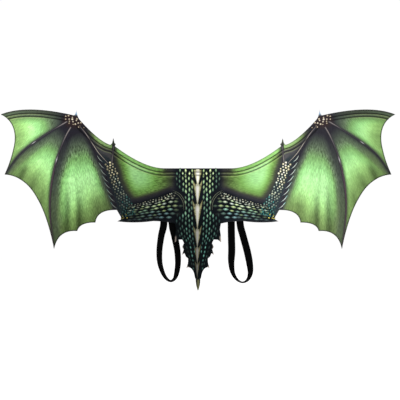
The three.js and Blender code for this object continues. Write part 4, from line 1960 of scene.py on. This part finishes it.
    def _bones(self) -> None:
        """Lay the finger bones, the bare part of the forearm, the thumb and the shoulder arcs."""
        fingers = ((self.picture.first_finger, 0.49, 0.0), (self.picture.second_finger, 0.29, 0.5))
        for corners, gloss, plum in fingers:
            path = respaced(smooth_path(corners), 5.0)[:-1]
            tint = partial(self._finger_tint, gloss=gloss, plum=plum)
            self.raised.strip(path, self.finger_shape.at(shares_along(path)), 1.2, tint)
        bare = respaced(smooth_path(self.picture.forearm[:6]), 5.0)[3:-5]
        tint = partial(self._pale_tint, cover=0.95)
        self.raised.strip(bare, self.bare_shape.at(shares_along(bare)), 1.1, tint)
        thumb = respaced(smooth_path(self.picture.thumb), 4.0)
        tint = partial(self._pale_tint, cover=0.45)
        self.raised.strip(thumb, np.linspace(*self.thumb_ends, len(thumb)), 0.9, tint)
        arc = respaced(smooth_path(self.arc), 4.0)
        width = 1.3 * np.sin(np.linspace(0.2, math.pi - 0.2, len(arc)))
        for shift in self.arc_shifts:
            self.raised.strip(arc - shift * left_of(directions(arc)), width, 0.6, self._arc_tint)

    @staticmethod
    def _finger_tint(share: Array, offset: float, gloss: float, plum: float) -> Array:
        """Colour one offset of a finger bone.

        Args:
            share: Shares along the bone.
            offset: The offset across it.
            gloss: Share along it where its white highlight sits.
            plum: How red its outer half is.

        Returns:
            Screen colours.
        """
        paint = Paint(len(share), Ink.CHARCOAL)
        crown = bell(offset - 0.2, 0.4)
        near = 0.7 * (1.0 - ramp(share, 0.04, 0.22)) + 0.27
        paint.lay(Ink.TAUPE, near * crown * (1.0 - 0.6 * ramp(share, 0.35, 0.8)))
        paint.lay(Ink.PLUM, plum * ramp(share, 0.12, 0.5) * (0.35 + 0.65 * crown))
        paint.lay(Ink.WHITE, 0.9 * bell(share - gloss, 0.022) * crown)
        return paint.rgb

    @staticmethod
    def _pale_tint(share: Array, offset: float, cover: float) -> Array:
        """Colour one offset of a bare bone: a pale line with dark sides.

        Args:
            share: Shares along the bone.
            offset: The offset across it.
            cover: How strong the pale line is.

        Returns:
            Screen colours.
        """
        paint = Paint(len(share), Ink.CHARCOAL)
        crown = cover * bell(offset, 0.55)
        paint.lay(Ink.TAUPE, crown)
        paint.lay(Ink.CREAM, 0.5 * crown * bell(share - 0.7, 0.3))
        return paint.rgb

    @staticmethod
    def _arc_tint(share: Array, offset: float) -> Array:
        """Colour one offset of a shoulder arc: a thin grey-green line on the dark ground.

        Args:
            share: Shares along the arc.
            offset: The offset across it.

        Returns:
            Screen colours.
        """
        paint = Paint(len(share), Ink.NIGHT)
        paint.lay(Ink.ARC, 0.9 * bell(offset, 0.7))
        return paint.rgb


def sweep(route: Array, across: Array, through: Array, section: Array) -> tuple[Array, Array]:
    """Sweep a closed section along a route, with flat ends.

    Args:
        route: Centre points.
        across: Unit directions of the section's first axis.
        through: Unit directions of its second axis.
        section: Closed section, as columns along those two axes.

    Returns:
        The points and the triangles.
    """
    count, around = len(route), len(section)
    points = route[:, None] + section[None, :, :1] * across[:, None] + section[None, :, 1:] * through[:, None]
    index = np.arange(count * around).reshape(count, around)
    near, far = index[:-1], index[1:]
    next_near, next_far = np.roll(near, -1, axis=1), np.roll(far, -1, axis=1)
    faces = [
        np.stack([near, next_near, next_far], axis=-1).reshape(-1, 3),
        np.stack([near, next_far, far], axis=-1).reshape(-1, 3),
    ]
    caps = np.array([[0, i + 1, i] for i in range(1, around - 1)])
    faces += [index[0][caps], index[-1][caps[:, ::-1]]]
    return points.reshape(-1, 3), np.vstack(faces)


def level_frames(route: Array) -> tuple[Array, Array]:
    """Give directions across and through a band that lies flat against the panel's back.

    Args:
        route: The band's centre points.

    Returns:
        Unit directions across the band, and through it.
    """
    ahead = directions(route)
    back = np.tile(np.array([0.0, 1.0, 0.0]), (len(route), 1))
    through = back - ahead * np.sum(back * ahead, axis=1, keepdims=True)
    through /= np.linalg.norm(through, axis=1, keepdims=True)
    return np.cross(ahead, through), through


@dataclass
class Stitches:
    """Short threads in rows, joined into one piece."""

    name: str
    length: float = 3.0
    gap: float = 1.3
    step: float = 0.5
    radius: float = 0.45
    sides: int = 6
    thread_stops: tuple[float, ...] = (0.0, 0.12, 0.5, 0.88, 1.0)
    thread_girths: tuple[float, ...] = (0.35, 0.85, 1.0, 0.85, 0.35)
    points: list[Array] = field(default_factory=list)
    faces: list[Array] = field(default_factory=list)

    def row(self, route: Array) -> None:
        """Sew a row of stitches along a line in space.

        Args:
            route: The line, on the surface that the threads lie on.
        """
        line = respaced(route, self.step)
        pitch = int(round((self.length + self.gap) / self.step))
        span = int(round(self.length / self.step))
        for start in range(0, len(line) - span, pitch):
            self._thread(line[start], line[start + span])

    def _thread(self, start: Array, end: Array) -> None:
        """Add one thread, plump in the middle and thin at both ends.

        Args:
            start: Where it comes up through the cloth.
            end: Where it goes down again.
        """
        route = start + np.array(self.thread_stops)[:, None] * (end - start)
        across, through = level_frames(route)
        turn = np.arange(self.sides) * 2 * math.pi / self.sides
        section = self.radius * np.stack([np.cos(turn), np.sin(turn)], axis=1)
        points, faces = sweep(route, across, through, section)
        girths = np.repeat(self.thread_girths, self.sides)[:, None]
        centre = np.repeat(route, self.sides, axis=0)
        first = sum(len(part) for part in self.points)
        self.points.append(centre + (points - centre) * girths)
        self.faces.append(faces + first)

    def build(self, finish: Material, slot: str) -> Thing:
        """Join the threads into one piece."""
        made = new_object(self.name, np.vstack(self.points) * MM, np.vstack(self.faces), finish)
        return seat(made, slot)


@dataclass
class Casings:
    """Tape casings on the back of the top edge, and the stitches that hold them."""

    form: ClothForm
    width: float = 9.0
    step: float = 4.0
    sewn_gap: float = 0.3
    section_sides: tuple[float, ...] = (-1.0, -0.97, -0.8, -0.5, 0.0, 0.5, 0.8, 0.97, 1.0)
    section_lifts: tuple[float, ...] = (0.0, 0.6, 0.75, 1.7, 2.4, 1.7, 0.75, 0.6, 0.0)
    front_stitch_lift: float = 0.1
    back_stitch_lift: float = 0.9

    def build(self, tape: Material, thread: Material) -> list[Thing]:
        """Build the casings and their stitches.

        Args:
            tape: Finish of the casings.
            thread: Finish of the stitches.

        Returns:
            The pieces.
        """
        middle, leading = self.form.casing_lines()
        mirror = np.array([-1.0, 1.0])
        whole = np.vstack([middle[:0:-1] * mirror, middle])
        lines = {"casing_middle": whole, "casing_left": leading[::-1] * mirror, "casing_right": leading}
        pieces = [self._tape(node, line, tape) for node, line in lines.items()]
        stitches = Stitches("casing_stitches")
        for line in self.form.stitch_lines():
            for row in (line, line * mirror):
                stitches.row(in_space(row, self.form.front(row) - self.front_stitch_lift))
                stitches.row(in_space(row, self.form.back(row) + self.back_stitch_lift))
        pieces.append(stitches.build(thread, "casing_tape"))
        return pieces

    def _tape(self, node: str, line: Array, finish: Material) -> Thing:
        """Build one casing: a band with flat sewn sides and a plump middle.

        Args:
            node: The solid that it stands for.
            line: Its centre line.
            finish: The tape's finish.

        Returns:
            The casing.
        """
        line = respaced(line, self.step)
        route = in_space(line, self.form.back(line) + self.sewn_gap)
        across, through = level_frames(route)
        sides = np.array(self.section_sides) * (self.width / 2)
        section = np.stack([sides, np.array(self.section_lifts)], axis=1)
        points, faces = sweep(route, across, through, section[::-1])
        made = new_object(node + "_tape", points * MM, faces, finish)
        return seat(made, "casing_tape", node)


@dataclass(frozen=True)
class Station:
    """One point of an arm loop's route: how far back it lies and how far it has turned edge-on."""

    x: float
    z: float
    back: float
    turn: float


@dataclass
class ArmLoop:
    """A black elastic loop, sewn to the back of the panel by both ends."""

    node: str
    stations: tuple[Station, ...]
    width: float = 20.0
    thickness: float = 1.5
    sewn_gap: float = 0.3
    span_steps: int = 12
    ribs: int = 9
    rib_steps: int = 4
    rib_depth: float = 0.14
    face_share: float = 0.97
    seam_inset: float = 2.5
    seam_foot: float = 1.5
    thread_lift: float = 0.1

    def build(self, finish: Material, stitches: Stitches) -> Thing:
        """Build the loop and sew its ends.

        Args:
            finish: The elastic's finish.
            stitches: Where the stitches of its ends are added.

        Returns:
            The loop.
        """
        seat_depth = self.sewn_gap + self.thickness / 2
        track = smooth_path([(s.x, seat_depth + s.back, s.z, s.turn) for s in self.stations], self.span_steps)
        route = track[:, :3]
        across, through = level_frames(route)
        ahead = np.cross(through, across)
        angle = np.radians(track[:, 3])[:, None]
        turned = across * np.cos(angle) + np.cross(ahead, across) * np.sin(angle)
        turned_through = through * np.cos(angle) + np.cross(ahead, through) * np.sin(angle)
        points, faces = sweep(route, turned, turned_through, self._section())
        made = new_object(self.node + "_elastic", points * MM, faces, finish)
        for end in (self.stations[:2], self.stations[-1:-3:-1]):
            self._sew(stitches, *end)
        return seat(made, "black_elastic", self.node)

    def _section(self) -> Array:
        """Give the band's section: lengthwise ribs on both faces and rounded sides.

        Returns:
            The closed section, as columns across and through the band.
        """
        steps = self.rib_steps * self.ribs + 1
        side = np.linspace(-self.face_share, self.face_share, steps) * self.width / 2
        wave = np.cos(np.linspace(0, 2 * math.pi * self.ribs, steps))
        face = self.thickness / 2 - self.rib_depth * (0.5 + 0.5 * wave)
        top = np.stack([side, face], axis=1)
        under = np.stack([side[::-1], -face[::-1]], axis=1)
        edge = np.array([[self.width / 2, 0.0]])
        return np.vstack([top, edge, under, -edge])[::-1]

    def _sew(self, stitches: Stitches, top: Station, low: Station) -> None:
        """Sew a box with a cross through one end of the loop.

        Args:
            stitches: Where the stitches are added.
            top: The loop's end.
            low: The station next to it.
        """
        inset = self.width / 2 - self.seam_inset
        depth = self.sewn_gap + self.thickness + self.thread_lift
        high, foot = top.z - self.seam_inset, low.z + self.seam_foot
        box = [(-inset, high), (inset, high), (inset, foot), (-inset, foot)]
        corners = [np.array([top.x + side, depth, z]) for side, z in box]
        for a, b in ((0, 1), (1, 2), (2, 3), (3, 0), (0, 2), (1, 3)):
            stitches.row(np.stack([corners[a], corners[b]]))


RIGHT_LOOP = (
    Station(92.3, 14, 0, 0), Station(92.3, -14, 0, 0), Station(92.3, -90, 3, 0),
    Station(92.8, -128, 6, 2), Station(93.7, -167, 9, 4), Station(92.5, -201, 11, 30),
    Station(96.5, -229, 12, 54), Station(108, -248.5, 12, 70), Station(124, -256.5, 12, 78),
    Station(138.5, -248.5, 12, 64), Station(145.5, -229, 12, 42), Station(143, -201, 11, 16),
    Station(136, -167, 9, 8), Station(125.3, -128, 6, 4), Station(116.5, -90, 3, 0),
    Station(114, -14, 0, 0), Station(114, 14, 0, 0),
)
LEFT_LOOP = (
    Station(-95, 14, 0, 0), Station(-95, -14, 0, 0), Station(-94.5, -90, 3, 4),
    Station(-102, -128, 6, 22), Station(-107, -167, 9, 34), Station(-106, -201, 11, 42),
    Station(-98, -229, 12, 54), Station(-87.5, -246, 12, 64), Station(-75.5, -253, 12, 72),
    Station(-65, -246, 12, 62), Station(-59, -229, 12, 46), Station(-55.5, -201, 12, 36),
    Station(-57.5, -167, 11, 30), Station(-65, -128, 8, 18), Station(-72, -90, 4, 0),
    Station(-73.3, -14, 0, 0), Station(-73.3, 14, 0, 0),
)


@dataclass(frozen=True)
class Lamp:
    """A soft square light that faces the wings: its place and side in metres, its power in watts."""

    name: str
    place: Triple
    size: float
    power: float


@dataclass
class Studio:
    """A white studio: pale floor, soft lights and the camera in front of the print."""

    centre: Corner = (0.0056, -0.0278)
    frame_width: float = 1.1085
    lens: float = 180.0
    sensor: float = 36.0
    view_reach: float = 100.0
    floor_height: float = -0.62
    floor_half: float = 14.0
    sky_light: float = 0.62
    backdrop_light: float = 1.02
    lamps: tuple[Lamp, ...] = (
        Lamp("key_light", (-1.6, -2.6, 2.0), 2.4, 29.0),
        Lamp("fill_light", (2.2, -2.4, 0.6), 2.4, 12.0),
        Lamp("back_light", (0.4, 2.6, 2.0), 2.4, 30.0),
    )

    def build(self) -> None:
        """Build the floor, the light and the camera."""
        self._floor()
        self._world()
        for lamp in self.lamps:
            self._light(lamp)
        self._camera()
        view = bpy.context.scene.view_settings
        view.view_transform = "Standard"
        view.look = "None"

    def _floor(self) -> None:
        """Lay a wide pale floor below the tail."""
        square = np.array([(-1.0, -1.0), (1.0, -1.0), (1.0, 1.0), (-1.0, 1.0)]) * self.floor_half
        corners = np.column_stack([square, np.full(len(square), self.floor_height)])
        finish = PaleFloor("pale_floor", roughness=0.9).material()
        made = new_object("floor", corners, np.array([[0, 1, 2, 3]]), finish)

    def _world(self) -> None:
        """Light the scene softly from all round, with a white backdrop in view."""
        world = bpy.data.worlds.new("white_studio")
        bpy.context.scene.world = world
        world.use_nodes = True
        tree = world.node_tree
        backdrop = tree.nodes["Background"]
        backdrop.inputs["Color"].default_value = (1.0, 1.0, 1.0, 1.0)
        path = tree.nodes.new("ShaderNodeLightPath")
        strength = tree.nodes.new("ShaderNodeMapRange")
        strength.inputs["To Min"].default_value = self.sky_light
        strength.inputs["To Max"].default_value = self.backdrop_light
        tree.links.new(path.outputs["Is Camera Ray"], strength.inputs["Value"])
        tree.links.new(strength.outputs["Result"], backdrop.inputs["Strength"])

    def _light(self, lamp: Lamp) -> None:
        """Hang one light, out of the camera's sight.

        Args:
            lamp: The light.
        """
        light = bpy.data.lights.new(lamp.name, "AREA")
        light.size = lamp.size
        light.energy = lamp.power
        made = bpy.data.objects.new(lamp.name, light)
        made.location = lamp.place
        made.rotation_euler = (-made.location).to_track_quat("-Z", "Y").to_euler()
        made.visible_camera = False
        bpy.context.scene.collection.objects.link(made)

    def _camera(self) -> None:
        """Put the camera level with the wings, far enough back to see the photo's frame."""
        camera = bpy.data.cameras.new("camera")
        camera.lens = self.lens
        camera.sensor_width = self.sensor
        camera.clip_end = self.view_reach
        made = bpy.data.objects.new("camera", camera)
        distance = self.frame_width * self.lens / self.sensor
        made.location = (self.centre[0], -distance, self.centre[1])
        made.rotation_euler = (math.pi / 2, 0.0, 0.0)
        bpy.context.scene.collection.objects.link(made)
        bpy.context.scene.camera = made


def main() -> None:
    """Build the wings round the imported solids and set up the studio."""
    logging.basicConfig(level=logging.INFO, format="%(name)s: %(message)s")
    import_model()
    Studio().build()
    edge = CutEdge()
    form = ClothForm(edge)
    picture = WingPrint(edge, form)
    WingPanel(form, picture).build(PrintedCloth("printed_cloth", roughness=0.8, specular=0.05))
    raised_print = RaisedInk("raised_print", roughness=0.5, specular=0.1).material()
    DragonBody(form, picture, raised_print).build()
    thread = BlackWeave("black_thread", roughness=0.7, specular=0.06, rib_scale=900.0).material()
    tape = BlackWeave("casing_tape", roughness=0.85, specular=0.05).material()
    Casings(form).build(tape, thread)
    elastic = BlackWeave("black_elastic", roughness=0.8, specular=0.012).material()
    loop_stitches = Stitches("strap_stitches")
    ArmLoop("strap_left", LEFT_LOOP).build(elastic, loop_stitches)
    ArmLoop("strap_right", RIGHT_LOOP).build(elastic, loop_stitches)
    loop_stitches.build(thread, "black_elastic")


if __name__ == "__main__":
    main()
